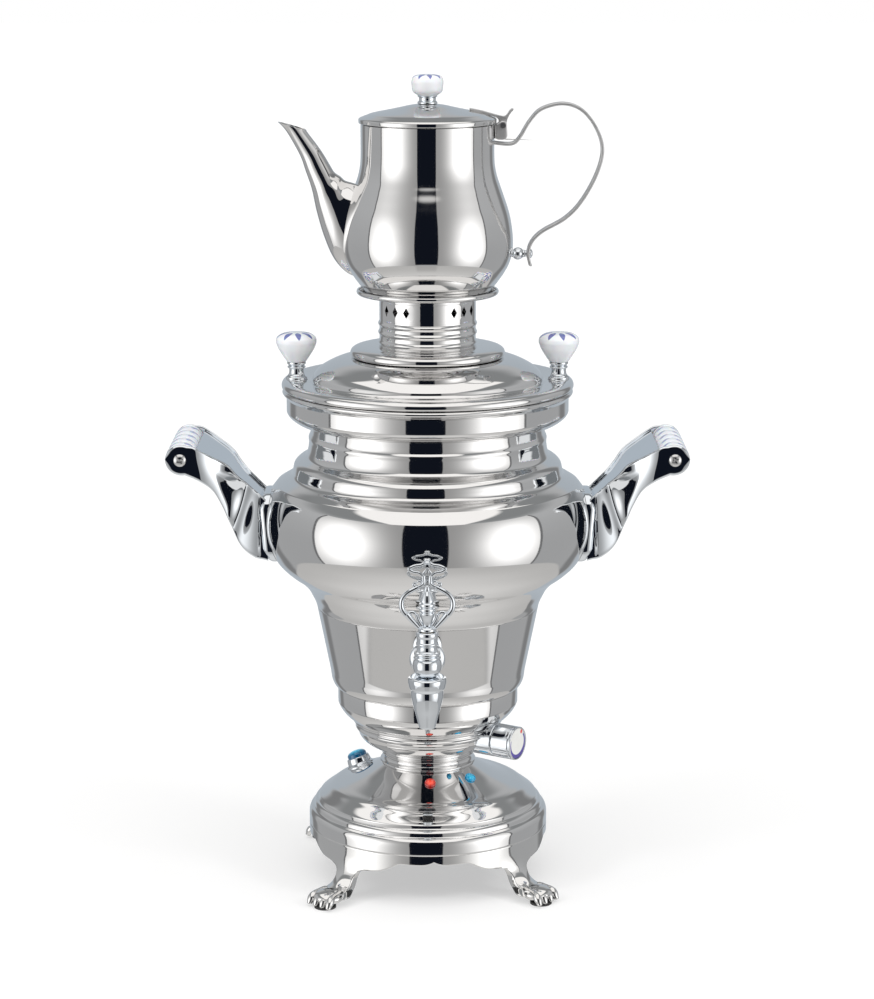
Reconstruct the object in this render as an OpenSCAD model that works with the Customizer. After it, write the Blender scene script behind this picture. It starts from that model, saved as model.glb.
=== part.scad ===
/* [Sheet and clearances] */
// Thickness of the polished steel shells
sheet = 0.8; // [0.6:0.1:1.2]
// Thickness of the tank wall
tank_wall = 1; // [0.8:0.1:1.5]
// Clearance between pieces that lift off one another
clear = 0.3; // [0.2:0.05:0.4]
// Radial running clearance of shafts, pins and screws
run_fit = 0.05; // [0.02:0.01:0.1]

/* [Base] */
// Outer radius of the foot ring and of the dome's lower edge
base_r = 78.3; // [72:0.1:90]
// Height of the seam between the foot ring and the dome
base_z = 36; // [34:0.5:44]
// Thickness of the cast foot ring
ring_t = 4; // [3:0.5:6]
// Height of the dome above the seam
dome_h = 40; // [34:0.5:48]
// Radius at which the paws stand
paw_r = 98; // [92:0.5:110]
// Half of the width of a paw
paw_half = 11.3; // [9:0.1:14]
// Thickness of the rubber pad under each paw
pad_t = 1.5; // [1:0.1:3]
// Turn of the legs round the vertical axis
base_turn = 3; // [0:1:45]

/* [Pedestal] */
// Outer radius of the pedestal neck
neck_r = 30; // [27:0.5:34]
// Height of the pedestal neck
neck_h = 10.5; // [8:0.5:16]
// Height of the lower bowl up to its band
bowl_h = 31.5; // [28:0.5:38]
// Outer radius of the band that joins the bowl to the tank
band_r = 58.8; // [54:0.1:68]
// Height of that band
band_h = 10; // [8:0.5:14]

/* [Tank] */
// Height of the straight cup below the belly
cup_h = 54; // [46:1:64]
// Outer radius at the top of the cup
cup_r = 72; // [68:0.5:82]
// Outer radius of the belly
belly_r = 105.3; // [98:0.1:126]
// Height of the belly
belly_h = 81.5; // [72:0.5:96]
// Outer radius of the mouth's neck
mouth_r = 75.3; // [70:0.1:86]
// Height of the shoulder and neck above the belly
mouth_h = 39.5; // [34:0.5:46]
// Thickness of the tank floor
floor_t = 2; // [1.5:0.5:3]

/* [Collar and lid] */
// Outer radius of the collar
collar_r = 90.5; // [84:0.5:108]
// Height of the collar
collar_h = 22; // [18:0.5:28]
// How far the lid's rim stands out over the collar
lid_over = 3.1; // [2:0.1:6]
// Height of the lid above its rim
lid_h = 20; // [16:0.5:26]
// Outer radius of the tier on the lid
tier_r = 49.4; // [45:0.1:58]
// Height of the tier
tier_h = 7.7; // [6:0.1:10]
// Depth of the skirt that centres the lid in the collar
skirt_h = 16; // [10:1:18]
// Distance of the lid knobs from the lid's rim
knob_inset = 9.6; // [8.5:0.1:11]
// Radius of the porcelain lid knobs
knob_r = 13; // [11:0.5:15]

/* [Crown] */
// Outer radius of the pierced gallery
gallery_r = 30.8; // [28:0.1:36]
// Height of the gallery
gallery_h = 30.7; // [26:0.1:40]
// How far the dish stands out round the teapot's foot
dish_over = 5.1; // [4:0.1:8]
// Turn of the gallery round the vertical axis
crown_turn = 3.5; // [0:0.5:45]

/* [Teapot] */
// Outer radius of the teapot's body
pot_r = 54.2; // [50:0.1:62]
// Height of the teapot's body
pot_h = 106.7; // [96:0.1:120]
// Outer radius of the teapot's mouth
pot_mouth_r = 42.2; // [40:0.1:46]
// Outer radius of the teapot's foot
pot_foot_r = 40.3; // [37:0.1:44]
// Thickness of the handle strip
strip_t = 2; // [1.5:0.1:3]
// Width of the handle strip
strip_w = 9; // [7:0.5:12]
// Radius of the ball that spaces the handle from the body
ball_r = 3.9; // [3:0.1:5]
// Radius of the lid's hinge pin
pin_r = 1.2; // [1:0.1:1.6]

/* [Side handles] */
// Distance of the grip from the belly
grip_reach = 51.2; // [46:0.1:60]
// Height of the grip above the handle's root
grip_rise = 69; // [62:0.5:78]
// Radius of the porcelain grip
grip_r = 9.6; // [8:0.1:12]
// Half distance between the cheeks where they leave the body
root_half = 19; // [16:0.5:24]
// Half distance between the cheeks at the grip
grip_half = 37.5; // [32:0.5:44]
// Thickness of the cheeks and of the web
cheek_t = 2; // [1.5:0.1:3]
// Thickness of the flange against the belly
flange_t = 5; // [4:0.5:7]

/* [Tap] */
// Distance of the tap's spindle in front of the belly
tap_reach = 12.7; // [9:0.1:20]
// Height of the tap's shank above the tank's seam
tap_rise = 44.8; // [40:0.1:46]
// Radius of the turning plug
plug_r = 4; // [3.5:0.1:4.6]
// Radius of the waterway
water_r = 2.8; // [2:0.1:3.2]
// Radius of the shank
shank_r = 7; // [6.4:0.1:8]
// Width of the key across its bows
key_w = 32.4; // [26:0.2:36]

/* [Controls] */
// Height of the thermostat's shaft above the neck
dial_rise = 11.5; // [10:0.1:13]
// Radius of the thermostat knob
dial_r = 10.9; // [9:0.1:12]
// Distance of the knob's face from the band
dial_reach = 10.2; // [8:0.1:16]
// Direction of the thermostat, counted from the front
dial_turn = 57.6; // [50:0.1:70]
// Radius of the switch's button
button_r = 6.5; // [5.5:0.1:7]
// Travel of the switch's button
button_travel = 2; // [1:0.5:3]
// Radius of the signal lamps
lamp_r = 3.5; // [2.5:0.1:4]

/* [Hidden] */
$fn = 96;
far = 400;       // longer than anything that it cuts
skin = 0.1;      // play between a formed piece and the shell it is fixed to
steel = "#d9dadc";
chrome = "#e8ecef";
porcelain = "#f4f3ee";
black = "#202225";

// --- levels, from the table up ---
neck_z = base_z + dome_h;
bowl_z = neck_z + neck_h;
band_z = bowl_z + bowl_h;
tank_z = band_z + band_h;
floor_z = tank_z - 8;
belly_z = tank_z + cup_h;
shoulder_z = belly_z + belly_h;
collar_z = shoulder_z + mouth_h;
lid_z = collar_z + collar_h + clear;
lid_top = lid_z + lid_h;
tier_top = lid_top + tier_h;
crown_z = tier_top + clear;
dish_z = crown_z + gallery_h;
dish_h = 4.6;
dish_floor = 2;
pot_z = dish_z + dish_floor + clear;
pot_top = pot_z + pot_h;
pot_lid_z = pot_top + clear;
root_x = belly_r - 7.3;
root_z = belly_z + 33.5;
grip_x = belly_r + grip_reach;
grip_z = root_z + grip_rise;
tap_y = belly_r + tap_reach;
tap_z = tank_z + tap_rise;
dial_z = bowl_z + dial_rise;
dial_face = band_r + dial_reach;
lid_r = collar_r + lid_over;
knob_x = lid_r - knob_inset;
dish_r = pot_foot_r + dish_over;

// --- curves ---
function blend4(a, b, c, d, t) =
    0.5 * (2 * b + (c - a) * t + (2 * a - 5 * b + 4 * c - d) * t * t + (3 * b - a - 3 * c + d) * t * t * t);
// smooth curve through points, with n steps between neighbours
function smooth(p, n = 4) = [
    for (i = [0 : len(p) - 2], k = [0 : n - 1])
        let(a = p[max(i - 1, 0)], b = p[i], c = p[i + 1], d = p[min(i + 2, len(p) - 1)])
        blend4(a, b, c, d, k / n),
    p[len(p) - 1]
];
function reverse(p) = [for (i = [len(p) - 1 : -1 : 0]) p[i]];
// a curve given in shares of the way from [r0, z0] to [r1, z1]
function spread(p, r0, r1, z0, z1) = [for (q = p) [r0 + (r1 - r0) * q.x, z0 + (z1 - z0) * q.y]];
// the same line moved sideways, to the left of its direction
function beside(p, t) = [
    for (i = [0 : len(p) - 1])
        let(a = p[max(i - 1, 0)], b = p[min(i + 1, len(p) - 1)], d = (b - a) / norm(b - a))
        p[i] + t * [-d.y, d.x]
];
// sheet of thickness t on the left of a line
function sheet_along(p, t) = concat(p, reverse(beside(p, t)));
function arc(centre, r, from, to, n = 12) = [
    for (i = [0 : n]) let(a = from + (to - from) * i / n) centre + r * [cos(a), sin(a)]
];
function round_box(w, h, r) = concat(
    arc([w / 2 - r, h / 2 - r], r, 0, 90, 6), arc([r - w / 2, h / 2 - r], r, 90, 180, 6),
    arc([r - w / 2, r - h / 2], r, 180, 270, 6), arc([w / 2 - r, r - h / 2], r, 270, 360, 6)
);
// the line without points that repeat
function distinct(p) = [for (i = [0 : len(p) - 1]) if (i == 0 || norm(p[i] - p[max(i - 1,
    0)]) > 0.01) p[i]];
function radius_at(line, z) = lookup(z, [for (p = line) [p.y, p.x]]);
function height_at(line, r) = lookup(-r, [for (p = line) [-p.x, p.y]]);

module lathe(outline) {
    rotate_extrude() polygon(outline);
}
// moves a piece that is drawn upright so that it points outward along a direction
module outward(turn, z) {
    translate([0, 0, z]) rotate([0, 0, turn - 90]) rotate([0, 90, 0]) children();
}
module around(count, turn = 0) {
    for (i = [0 : count - 1]) rotate([0, 0, turn + 360 * i / count]) children();
}
module sides() {
    children();
    mirror([1, 0, 0]) children();
}

// --- outlines, outer side, bottom to top ---
dome_line = smooth(spread([
    [0, 0], [0, 0.1], [0.015, 0.2], [0.04, 0.26], [0.05, 0.31], [0.09, 0.375], [0.15, 0.46],
    [0.25, 0.55], [0.36, 0.625], [0.5, 0.685], [0.67, 0.77], [0.835, 0.88], [1, 1]
], base_r, neck_r, base_z, neck_z));
neck_line = spread([
    [1, 0], [1, 0.08], [0.4, 0.16], [0, 0.3], [0.2, 0.42], [0.7, 0.5], [0.95, 0.58],
    [0.7, 0.66], [0.95, 0.74], [0.7, 0.82], [1, 0.9], [1, 1]
], neck_r - 1.5, neck_r, neck_z, bowl_z);
bowl_line = smooth(spread([
    [0, 0], [0.2, 0.04], [0.38, 0.13], [0.5, 0.25], [0.56, 0.38], [0.59, 0.475], [0.64, 0.565],
    [0.74, 0.665], [0.86, 0.77], [0.955, 0.89], [1, 1]
], neck_r, band_r, bowl_z, band_z));
cup_line = concat(
    smooth(spread([[0, 0], [0.19, 0.04], [0.3, 0.11], [0.36, 0.2]], band_r, cup_r, tank_z, belly_z)),
    [[cup_r, belly_z]]
);
belly_line = smooth(spread([
    [0, 0], [0.033, 0.045], [0.087, 0.092], [0.19, 0.166], [0.345, 0.233], [0.57, 0.3], [0.77, 0.38],
    [0.895, 0.478], [0.973, 0.577], [1, 0.687], [0.979, 0.804], [0.9, 0.92], [0.766, 1]
], cup_r, belly_r, belly_z, shoulder_z));
shoulder_r = cup_r + 0.766 * (belly_r - cup_r);
mouth_line = smooth(spread([
    [0, 0], [0.29, 0.14], [0.5, 0.215], [0.61, 0.29], [0.685, 0.375], [0.765, 0.425], [0.887, 0.475],
    [0.941, 0.58], [0.968, 0.71], [0.941, 0.777], [1, 0.848], [1, 0.9]
], shoulder_r, mouth_r, shoulder_z, collar_z));
tank_line = distinct(concat(cup_line, belly_line, mouth_line, [[mouth_r, collar_z]]));
collar_line = concat(
    [[mouth_r - tank_wall, collar_z]],
    smooth(spread([[0, 0], [0.55, 0.05], [0.85, 0.2], [0.98, 0.33], [1, 0.38]],
        mouth_r, collar_r, collar_z, collar_z + collar_h)),
    smooth([[collar_r, collar_z + collar_h - 5.5], [collar_r + 1, collar_z + collar_h - 4.2],
        [collar_r + 2.6, collar_z + collar_h - 2.2], [collar_r + 1, collar_z + collar_h]])
);
flange_in = 18;                      // width of the flat flange round the lid's dome
lid_line = smooth(concat(
    [[lid_r - 0.4, lid_z], [lid_r, lid_z + 2.5], [lid_r - 1, lid_z + 5.2], [lid_r - 3.6, lid_z + 5.9],
        [lid_r - flange_in, lid_z + 4.8]],
    spread([[0.04, 0.07], [0.09, 0.3], [0.2, 0.52], [0.47, 0.81], [0.75, 0.97], [1, 1]],
        lid_r - flange_in, tier_r - 2.4, lid_z + 4.8, lid_top)
));
tier_line = smooth(spread([[0.12, 0], [0.02, 0.16], [0, 0.35], [0.07, 0.6], [0.33, 0.84], [0.72, 0.95],
    [1, 1]],
    tier_r, gallery_r, lid_top, tier_top));
pot_line = smooth(spread([
    [0, 0], [0.05, 0.005], [0.09, 0.027], [0.23, 0.055], [0.5, 0.12], [0.72, 0.18], [0.83, 0.25],
    [0.85, 0.325], [0.79, 0.41], [0.655, 0.508], [0.42, 0.6], [0.23, 0.67], [0.14, 0.737], [0.128, 0.8]
], pot_foot_r, pot_foot_r + (pot_r - pot_foot_r) / 0.85, pot_z, pot_top));
pot_lid_line = spread([
    [0.97, 0], [1, 0.03], [1, 0.24], [0.98, 0.3], [0.79, 0.53], [0.485, 0.74], [0.27, 0.92], [0.14, 1]
], 0, pot_mouth_r + 1.2, pot_lid_z, pot_lid_z + 12.2);

// --- base ---
foot_r = base_r - ring_t;
leg_side = concat(
    smooth([[base_r - 1.5, 31], [base_r + 0.2, 27], [base_r + 1.2, 22], [base_r + 3.7, 17],
        [paw_r - 11.5, 13], [paw_r - 6.5, 10.8], [paw_r, 9.6], [paw_r + 5, 7.6], [paw_r + 8, 4.5],
        [paw_r + 9, pad_t]], 2),
    smooth([[paw_r - 6, pad_t], [paw_r - 11, 5], [foot_r + 5, 9.5], [foot_r + 0.5, 15], [foot_r - 1.5, 22],
        [foot_r + 1, 31]], 2)
);
leg_face = smooth([[paw_half, pad_t - 1], [paw_half - 0.3, 4], [paw_half - 1.4, 7], [paw_half - 3, 10],
    [7.4, 13], [7.2, 16], [8.6, 19], [12, 22.5], [16, 25.5], [18, 29], [18, base_z]], 2);
// lower edge of the ring from the cusp between two legs to one leg: [share of the way, height]
scallop = smooth([[0, 31.2], [0.12, 29], [0.24, 29.2], [0.35, 29.7], [0.48, 26], [0.58, 23.4], [0.68, 22.4],
    [0.78, 21.4], [0.86, 18], [0.9, 10], [0.9, -5]], 3);
toe_pitch = paw_half / 2.5;

module leg() {
    difference() {
        intersection() {
            lathe(leg_side);
            rotate([90, 0, 90]) linear_extrude(far)
                polygon(concat(leg_face, reverse([for (p = leg_face) [-p.x, p.y]])));
        }
        for (i = [-1.5 : 1 : 1.5])
            translate([paw_r + 5.5, i * toe_pitch, 6.5]) rotate([0, 132, 0])
                cylinder(r = 1.2, h = 36, center = true, $fn = 32);
    }
}
lug_r = foot_r - 6;
plate_z = base_z - 3;
screw_r = 2;
module foot_ring() {
    color(steel) difference() {
        union() {
            difference() {
                union() {
                    translate([0, 0, 1]) cylinder(r = base_r, h = base_z - 1);
                    cylinder(r = base_r - sheet - clear, h = base_z + 3);
                }
                cylinder(r = foot_r, h = far, center = true);
                around(4, base_turn) rotate([90, 0, 0]) linear_extrude(far) polygon(concat(
                    [for (p = scallop) [base_r * sin(45) * p.x, p.y]],
                    reverse([for (p = scallop) [-base_r * sin(45) * p.x, p.y]])
                ));
            }
            around(4, base_turn + 45) leg();
            around(4, base_turn + 45) translate([lug_r - 6, -7, plate_z + 1]) cube([14, 14, 4]);
        }
        around(4, base_turn + 45) translate([lug_r, 0, plate_z]) cylinder(r = screw_r + run_fit, h = 9);
    }
}
module foot_pads() {
    color(black) around(4, base_turn + 45) translate([paw_r, 0, 0]) cylinder(r = 7, h = pad_t);
}
module base_plate() {
    color(black) difference() {
        translate([0, 0, plate_z]) cylinder(r = foot_r - clear, h = 1);
        around(4, base_turn + 45) translate([lug_r, 0, 0]) cylinder(r = screw_r + run_fit, h = far);
        around(12) translate([45, 0, plate_z]) cube([22, 3, 6], center = true);
        cylinder(r = rod_r + run_fit, h = far);
    }
}
module pan_screw(head_r, head_h, shank_r, length) {
    rotate_extrude() polygon(concat(
        [[0, 0]], [for (a = [0 : 15 : 90]) [head_r * (1 - 0.45 * (1 - cos(a))), head_h * sin(a)]],
        [[0, head_h]]
    ));
    translate([0, 0, -length]) cylinder(r = shank_r, h = length + 0.01);
}
module base_plate_screws() {
    color(steel) around(4, base_turn + 45) translate([lug_r, 0, plate_z]) mirror([0, 0, 1])
        pan_screw(3.8, 2.4, screw_r, 5);
}
switch_turn = -118;
switch_d = 51;
lamp_d = 38;
red_turn = 2.5;
blue_turn = 46.6;
switch_tilt = 24;
lamp_tilt = 29;
module dome_solid(grown) {
    lathe(concat([[0, base_z]], beside(dome_line, -grown), [[0, neck_z]]));
}
// places a piece square to the dome, at distance d from the axis
module on_dome(turn, d, tilt) {
    rotate([0, 0, turn - 90]) translate([d, 0, height_at(dome_line, d)]) rotate([0, tilt, 0]) children();
}
bezel_neck_r = button_r + 1.2;
module base_dome() {
    color(steel) difference() {
        lathe(sheet_along(dome_line, sheet));
        on_dome(switch_turn, switch_d, switch_tilt) cylinder(r = bezel_neck_r + skin, h = 20,
            center = true);
        on_dome(red_turn, lamp_d, lamp_tilt) cylinder(r = lamp_r - 0.5 + skin, h = 20, center = true);
        on_dome(blue_turn, lamp_d, lamp_tilt) cylinder(r = lamp_r - 0.5 + skin, h = 20, center = true);
    }
}

// --- pedestal ---
neck_in = neck_r - 4;
rod_r = 3;
boss_h = 8;
inlet_w = 27;
inlet_h = 20;
inlet_z = bowl_z + 16;
module pedestal_neck() {
    color(steel) difference() {
        union() {
            lathe(concat([[0, neck_z]], neck_line, [[0, bowl_z]]));
            translate([0, 0, neck_z - 3]) cylinder(r = neck_r - 1.6, h = 4);
        }
        cylinder(r = neck_in, h = far);
    }
}
module lower_bowl() {
    color(steel) difference() {
        lathe(sheet_along(concat([[neck_in, bowl_z]], bowl_line, [[band_r, tank_z]]), sheet));
        outward(dial_turn, dial_z) cylinder(r = bush_r + run_fit, h = far);
        translate([0, 0, inlet_z]) rotate([-90, 0, 0])
            linear_extrude(far) polygon(round_box(inlet_w + 2 * skin, inlet_h + 2 * skin, 3));
    }
}
// the rod, with the washer and the nut that draw the base against the tank
module tie_rod() {
    color(steel) {
        translate([0, 0, plate_z - 8]) cylinder(r = rod_r, h = floor_z - 2 - plate_z + 8);
        difference() {
            union() {
                translate([0, 0, plate_z - 1.2]) cylinder(r = 8, h = 1.2);
                translate([0, 0, plate_z - 6.2]) cylinder(r = 5.8, h = 5, $fn = 6);
            }
            cylinder(r = rod_r + run_fit, h = far);
        }
    }
}

// --- tank ---
spigot_r = band_r - sheet - clear;
element_r = 40;
tube_r = 4;
gland_r = 6;
gland_turn = 20;
cutout_at = [22, 18];
bolt_r = 2.5;
bolt_z = [root_z + 14, root_z + 30];
tail_r = 5;
tank_inner = beside(tank_line, tank_wall);
// the part of the tank's sheet between two heights, cut where neighbours meet
function tank_sheet(from, to) =
    let(at = [for (i = [0 : len(tank_line) - 1])
        if (tank_line[i].y > from - 0.01 && tank_line[i].y < to + 0.01) i])
    concat([for (i = at) tank_line[i]], reverse([for (i = at) tank_inner[i]]));
module tank() {
    color(steel) difference() {
        union() {
            lathe(tank_sheet(tank_z, belly_z));
            lathe([[0, floor_z], [spigot_r, floor_z], [spigot_r, tank_z], tank_line[0], tank_inner[0],
                [spigot_r - tank_wall, tank_z], [spigot_r - tank_wall, floor_z + floor_t], [0,
                    floor_z + floor_t]]);
            translate([0, 0, floor_z - boss_h]) cylinder(r = 7, h = boss_h);
        }
        translate([0, 0, floor_z - boss_h - 1]) cylinder(r = rod_r + run_fit, h = boss_h);
        translate([0, 0, tap_z]) rotate([90, 0, 0]) cylinder(r = tail_r + run_fit, h = far);
        element_legs() cylinder(r = gland_r + run_fit, h = 20, center = true);
    }
}
module tank_belly() {
    color(steel) difference() {
        lathe(tank_sheet(belly_z, shoulder_z));
        for (z = bolt_z) translate([0, 0, z]) rotate([0, 90, 0])
            cylinder(r = bolt_r + run_fit, h = far, center = true);
    }
}
module tank_mouth() {
    color(steel) lathe(tank_sheet(shoulder_z, collar_z));
}
module tank_solid(grown) {
    lathe(concat([[0, tank_z]], beside(tank_line, -grown), [[0, collar_z]]));
}
module element_legs() {
    for (s = [-1, 1]) rotate([0, 0, 180 + s * gland_turn]) translate([element_r, 0, floor_z]) children();
}
module collar() {
    color(steel) lathe(sheet_along(collar_line, sheet));
}
element_z = floor_z + 14;
module heating_element() {
    color("#9b958c") {
        rotate([0, 0, 180 + gland_turn]) rotate_extrude(angle = 360 - 2 * gland_turn)
            translate([element_r, element_z]) circle(r = tube_r, $fn = 32);
        element_legs() translate([0, 0, element_z - floor_z]) sphere(r = tube_r, $fn = 32);
        element_legs() translate([0, 0, -14]) cylinder(r = tube_r, h = element_z - floor_z + 14, $fn = 32);
    }
}
module element_glands() {
    color("#c9a24f") element_legs() difference() {
        union() {
            translate([0, 0, -7]) cylinder(r = gland_r, h = 12);
            translate([0, 0, floor_t]) cylinder(r = 8.5, h = 3);
            translate([0, 0, -6]) cylinder(r = 9.2, h = 6, $fn = 6);
        }
        cylinder(r = tube_r + run_fit, h = 40, center = true);
    }
}
module thermal_cutout() {
    color(black) translate([cutout_at.x, cutout_at.y, floor_z]) {
        translate([0, 0, -3]) cylinder(r = 8, h = 3);
        translate([0, 0, -11]) cylinder(r = 7, h = 8);
        for (s = [-1, 1]) translate([s * 4 - 2, -0.4, -17]) cube([4, 0.8, 7]);
    }
}
inlet_out = 68;
inlet_in = 34;
socket_d = 17;
module power_inlet() {
    color(black) translate([0, inlet_in, inlet_z]) rotate([-90, 0, 0]) difference() {
        linear_extrude(inlet_out - inlet_in) polygon(round_box(inlet_w, inlet_h, 3));
        translate([0, 0, inlet_out - inlet_in - socket_d]) linear_extrude(far)
            polygon(round_box(24.4, 16.4, 3));
        for (p = pin_at) translate([p.x, p.y, -1]) linear_extrude(far) square([2, 4], center = true);
    }
}
pin_at = [[-7, 2], [7, 2], [0, -2]];
module inlet_pins() {
    color("#c9a24f") translate([0, inlet_in - 6, inlet_z]) rotate([-90, 0, 0])
        for (p = pin_at) translate([p.x, p.y, 0]) linear_extrude(inlet_out - inlet_in + 3)
            square([2, 4], center = true);
}
wire_r = 1.2;
wire_sides = 8;
// a tube along a smooth path, straight at both ends
module lead(points) {
    count = len(points);
    path = concat([points[0]], smooth([for (i = [1 : count - 2]) points[i]], 3), [points[count - 1]]);
    last = len(path) - 1;
    across = [0.31, 0.93, 0.2];
    loft([for (i = [0 : last])
        let(d = path[min(i + 1, last)] - path[max(i - 1, 0)], t = d / norm(d),
            u = cross(t, across) / norm(cross(t, across)), v = cross(t, u))
        [for (k = [0 : wire_sides - 1]) let(a = 360 * k / wire_sides)
            path[i] + wire_r * (u * cos(a) + v * sin(a))]
    ]);
}
function pin_end(i) = [pin_at[i].x, inlet_in - 6 - skin, inlet_z - pin_at[i].y];
function leg_end(s) = [element_r * cos(180 + s * gland_turn), element_r * sin(180 + s * gland_turn),
    floor_z - 14 - skin];
function dome_point(turn, d, tilt, x, z) =
    let(a = turn - 90, r = d + x * cos(tilt) + z * sin(tilt))
    [r * cos(a), r * sin(a), height_at(dome_line, d) - x * sin(tilt) + z * cos(tilt)];
function dial_point(side, r, z) =
    let(a = dial_turn - 90) [r * cos(a) - side * sin(a), r * sin(a) + side * cos(a), dial_z + z];
function tab_end(s) = [cutout_at.x + 4 * s, cutout_at.y, floor_z - 17 - skin];
module wiring() {
    color("#b23a2e") {
        lead([pin_end(1), pin_end(1) - [0, 7, 0], [12, 14, neck_z + 14], [12, 13, neck_z + 2], [4, 15,
            neck_z - 12],
            [-20, 17, neck_z - 31], dome_point(switch_turn, switch_d, switch_tilt, 4, -21),
            dome_point(switch_turn, switch_d, switch_tilt, 4, -16 - skin)]);
        lead([dome_point(switch_turn, switch_d, switch_tilt, -4, -16 - skin),
            dome_point(switch_turn, switch_d, switch_tilt, -4, -21), [-20, 7, neck_z - 24], [-14, 4,
                neck_z - 8],
            [-9, 7, bowl_z], [2, 8, bowl_z + 4], [13, 8, bowl_z + 5], tab_end(-1) - [0, 0, 6],
                tab_end(-1)]);
        lead([tab_end(1), tab_end(1) - [0, 0, 6], [21, 7, dial_z - 3], dial_point(4, sensor_in - 5, 2),
            dial_point(4, sensor_in - skin, 2)]);
        lead([dial_point(-4, sensor_in - skin, 2), dial_point(-4, sensor_in - 5, 2), [-5, -14, dial_z],
            [-24, -16, dial_z - 1], leg_end(1) - [0, 0, 7], leg_end(1)]);
        lead([pin_end(0), pin_end(0) - [0, 6, 0], [-18, 19, inlet_z - 4], [-31, 14.5, inlet_z - 5],
            leg_end(-1) - [0, 0, 7], leg_end(-1)]);
    }
}

// --- thermostat, drawn along its shaft with the vertical axis at zero ---
bush_r = 5;
shaft_r = 3;
sensor_in = 16;
sensor_out = 33;
knob_back = 54;
module thermostat_body() {
    color(black) outward(dial_turn, dial_z) difference() {
        translate([0, 0, sensor_in]) cylinder(r = 8.5, h = sensor_out - sensor_in);
        translate([0, 0, sensor_in + 6]) cylinder(r = shaft_r + run_fit, h = far);
    }
}
module thermostat_bush() {
    color("#c9a24f") outward(dial_turn, dial_z) difference() {
        translate([0, 0, sensor_out]) cylinder(r = bush_r, h = knob_back - 1 - sensor_out);
        cylinder(r = shaft_r + run_fit, h = far);
    }
}
module thermostat_sleeve() {
    color(chrome) difference() {
        outward(dial_turn, dial_z) translate([0, 0, 38]) cylinder(r = dial_r, h = knob_back - 38);
        outward(dial_turn, dial_z) cylinder(r = bush_r + run_fit, h = far);
        lathe(concat([[0, bowl_z - 1], [neck_r, bowl_z - 1]], beside(bowl_line, -skin),
            [[band_r + skin, tank_z], [0, tank_z]]));
    }
}
module thermostat_shaft() {
    color(steel) outward(dial_turn, dial_z) translate([0, 0, sensor_in + 7])
        cylinder(r = shaft_r, h = dial_face - 4 - sensor_in - 7);
}
dial_inset = 1;
module thermostat_knob() {
    color(chrome) outward(dial_turn, dial_z) difference() {
        translate([0, 0, knob_back + clear]) cylinder(r = dial_r, h = dial_face - knob_back - clear);
        cylinder(r = shaft_r + run_fit, h = dial_face - 4);
        translate([0, 0, dial_face - dial_inset]) cylinder(r = dial_r - 0.9, h = 5);
    }
}
module thermostat_dial() {
    color(porcelain) outward(dial_turn, dial_z)
        translate([0, 0, dial_face - dial_inset]) cylinder(r = dial_r - 1, h = dial_inset - 0.2);
}

// --- switch and lamps, drawn square to the dome ---
bezel_h = 6;
module switch_bezel() {
    color(chrome) {
        difference() {
            on_dome(switch_turn, switch_d, switch_tilt) difference() {
                translate([0, 0, -2]) cylinder(r1 = button_r + 3.2, r2 = button_r + 1.3, h = bezel_h + 2);
                translate([0, 0, -10]) cylinder(r = button_r + run_fit, h = 30);
            }
            dome_solid(skin);
        }
        on_dome(switch_turn, switch_d, switch_tilt) difference() {
            translate([0, 0, -6]) cylinder(r = bezel_neck_r, h = 9);
            translate([0, 0, -10]) cylinder(r = button_r + run_fit, h = 30);
        }
    }
}
module switch_body() {
    color(black) on_dome(switch_turn, switch_d, switch_tilt) difference() {
        translate([0, 0, -16]) cylinder(r = bezel_neck_r, h = 10);
        translate([0, 0, -9]) cylinder(r = button_r + run_fit, h = 10);
    }
}
module switch_button() {
    color("#1ea7d8") on_dome(switch_turn, switch_d, switch_tilt) rotate_extrude() polygon(concat(
        [[0, button_travel + clear - 9], [button_r, button_travel + clear - 9]],
        [for (a = [0 : 10 : 90]) [button_r * cos(a), bezel_h + 1.5 + 3 * sin(a)]]
    ));
}
module lamp(turn) {
    on_dome(turn, lamp_d, lamp_tilt) {
        translate([0, 0, -8]) cylinder(r = lamp_r - 0.5, h = 8.3);
        translate([0, 0, 0.3]) rotate_extrude() polygon(concat(
            [[0, 0]], [for (a = [0 : 15 : 90]) [lamp_r * cos(a), 2 * sin(a)]]
        ));
    }
}
module red_lamp() {
    color("#d8322b") lamp(red_turn);
}
module blue_lamp() {
    color("#1ea7d8") lamp(blue_turn);
}

// --- tap, drawn with its spindle on the vertical axis ---
ball_tap_r = 8.9;
tap_bottom = tap_z - 7;
tap_top = tap_z + 4.4;
bonnet_h = 17;
key_z = tap_top + bonnet_h + clear;
cup_wall = radius_at(tank_line, tap_z);
module at_tap() {
    translate([0, -tap_y, 0]) children();
}
module backward() {
    translate([0, 0, tap_z]) rotate([-90, 0, 0]) children();
}
tap_flange = tap_y - cup_wall - 2.5;
module tap_body() {
    color(chrome) at_tap() difference() {
        union() {
            intersection() {
                translate([0, 0, tap_z]) sphere(r = ball_tap_r);
                translate([0, 0, tap_bottom]) cylinder(r = 20, h = tap_top - tap_bottom);
            }
            backward() cylinder(r = shank_r, h = tap_flange);
            backward() translate([0, 0, 12.6]) cylinder(r = 11, h = 3);
            backward() translate([0, 0, 15.6]) cylinder(r1 = 11, r2 = shank_r, h = 5);
            backward() translate([0, 0, tap_flange - 2]) cylinder(r = 9, h = 2);
            backward() cylinder(r = tail_r, h = tap_flange + 14);
        }
        backward() cylinder(r = water_r, h = far);
        translate([0, 0, tap_top]) cylinder(r = ball_tap_r, h = 20);
        translate([0, 0, tap_bottom - 20]) cylinder(r = 12.2, h = 20);
        translate([0, 0, tap_bottom + 2]) cylinder(r = plug_r + run_fit, h = far);
        cylinder(r = water_r, h = far);
    }
}
tap_inside = tap_y - radius_at(tank_line, tap_z - 9) + tank_wall + 2.2;
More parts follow.
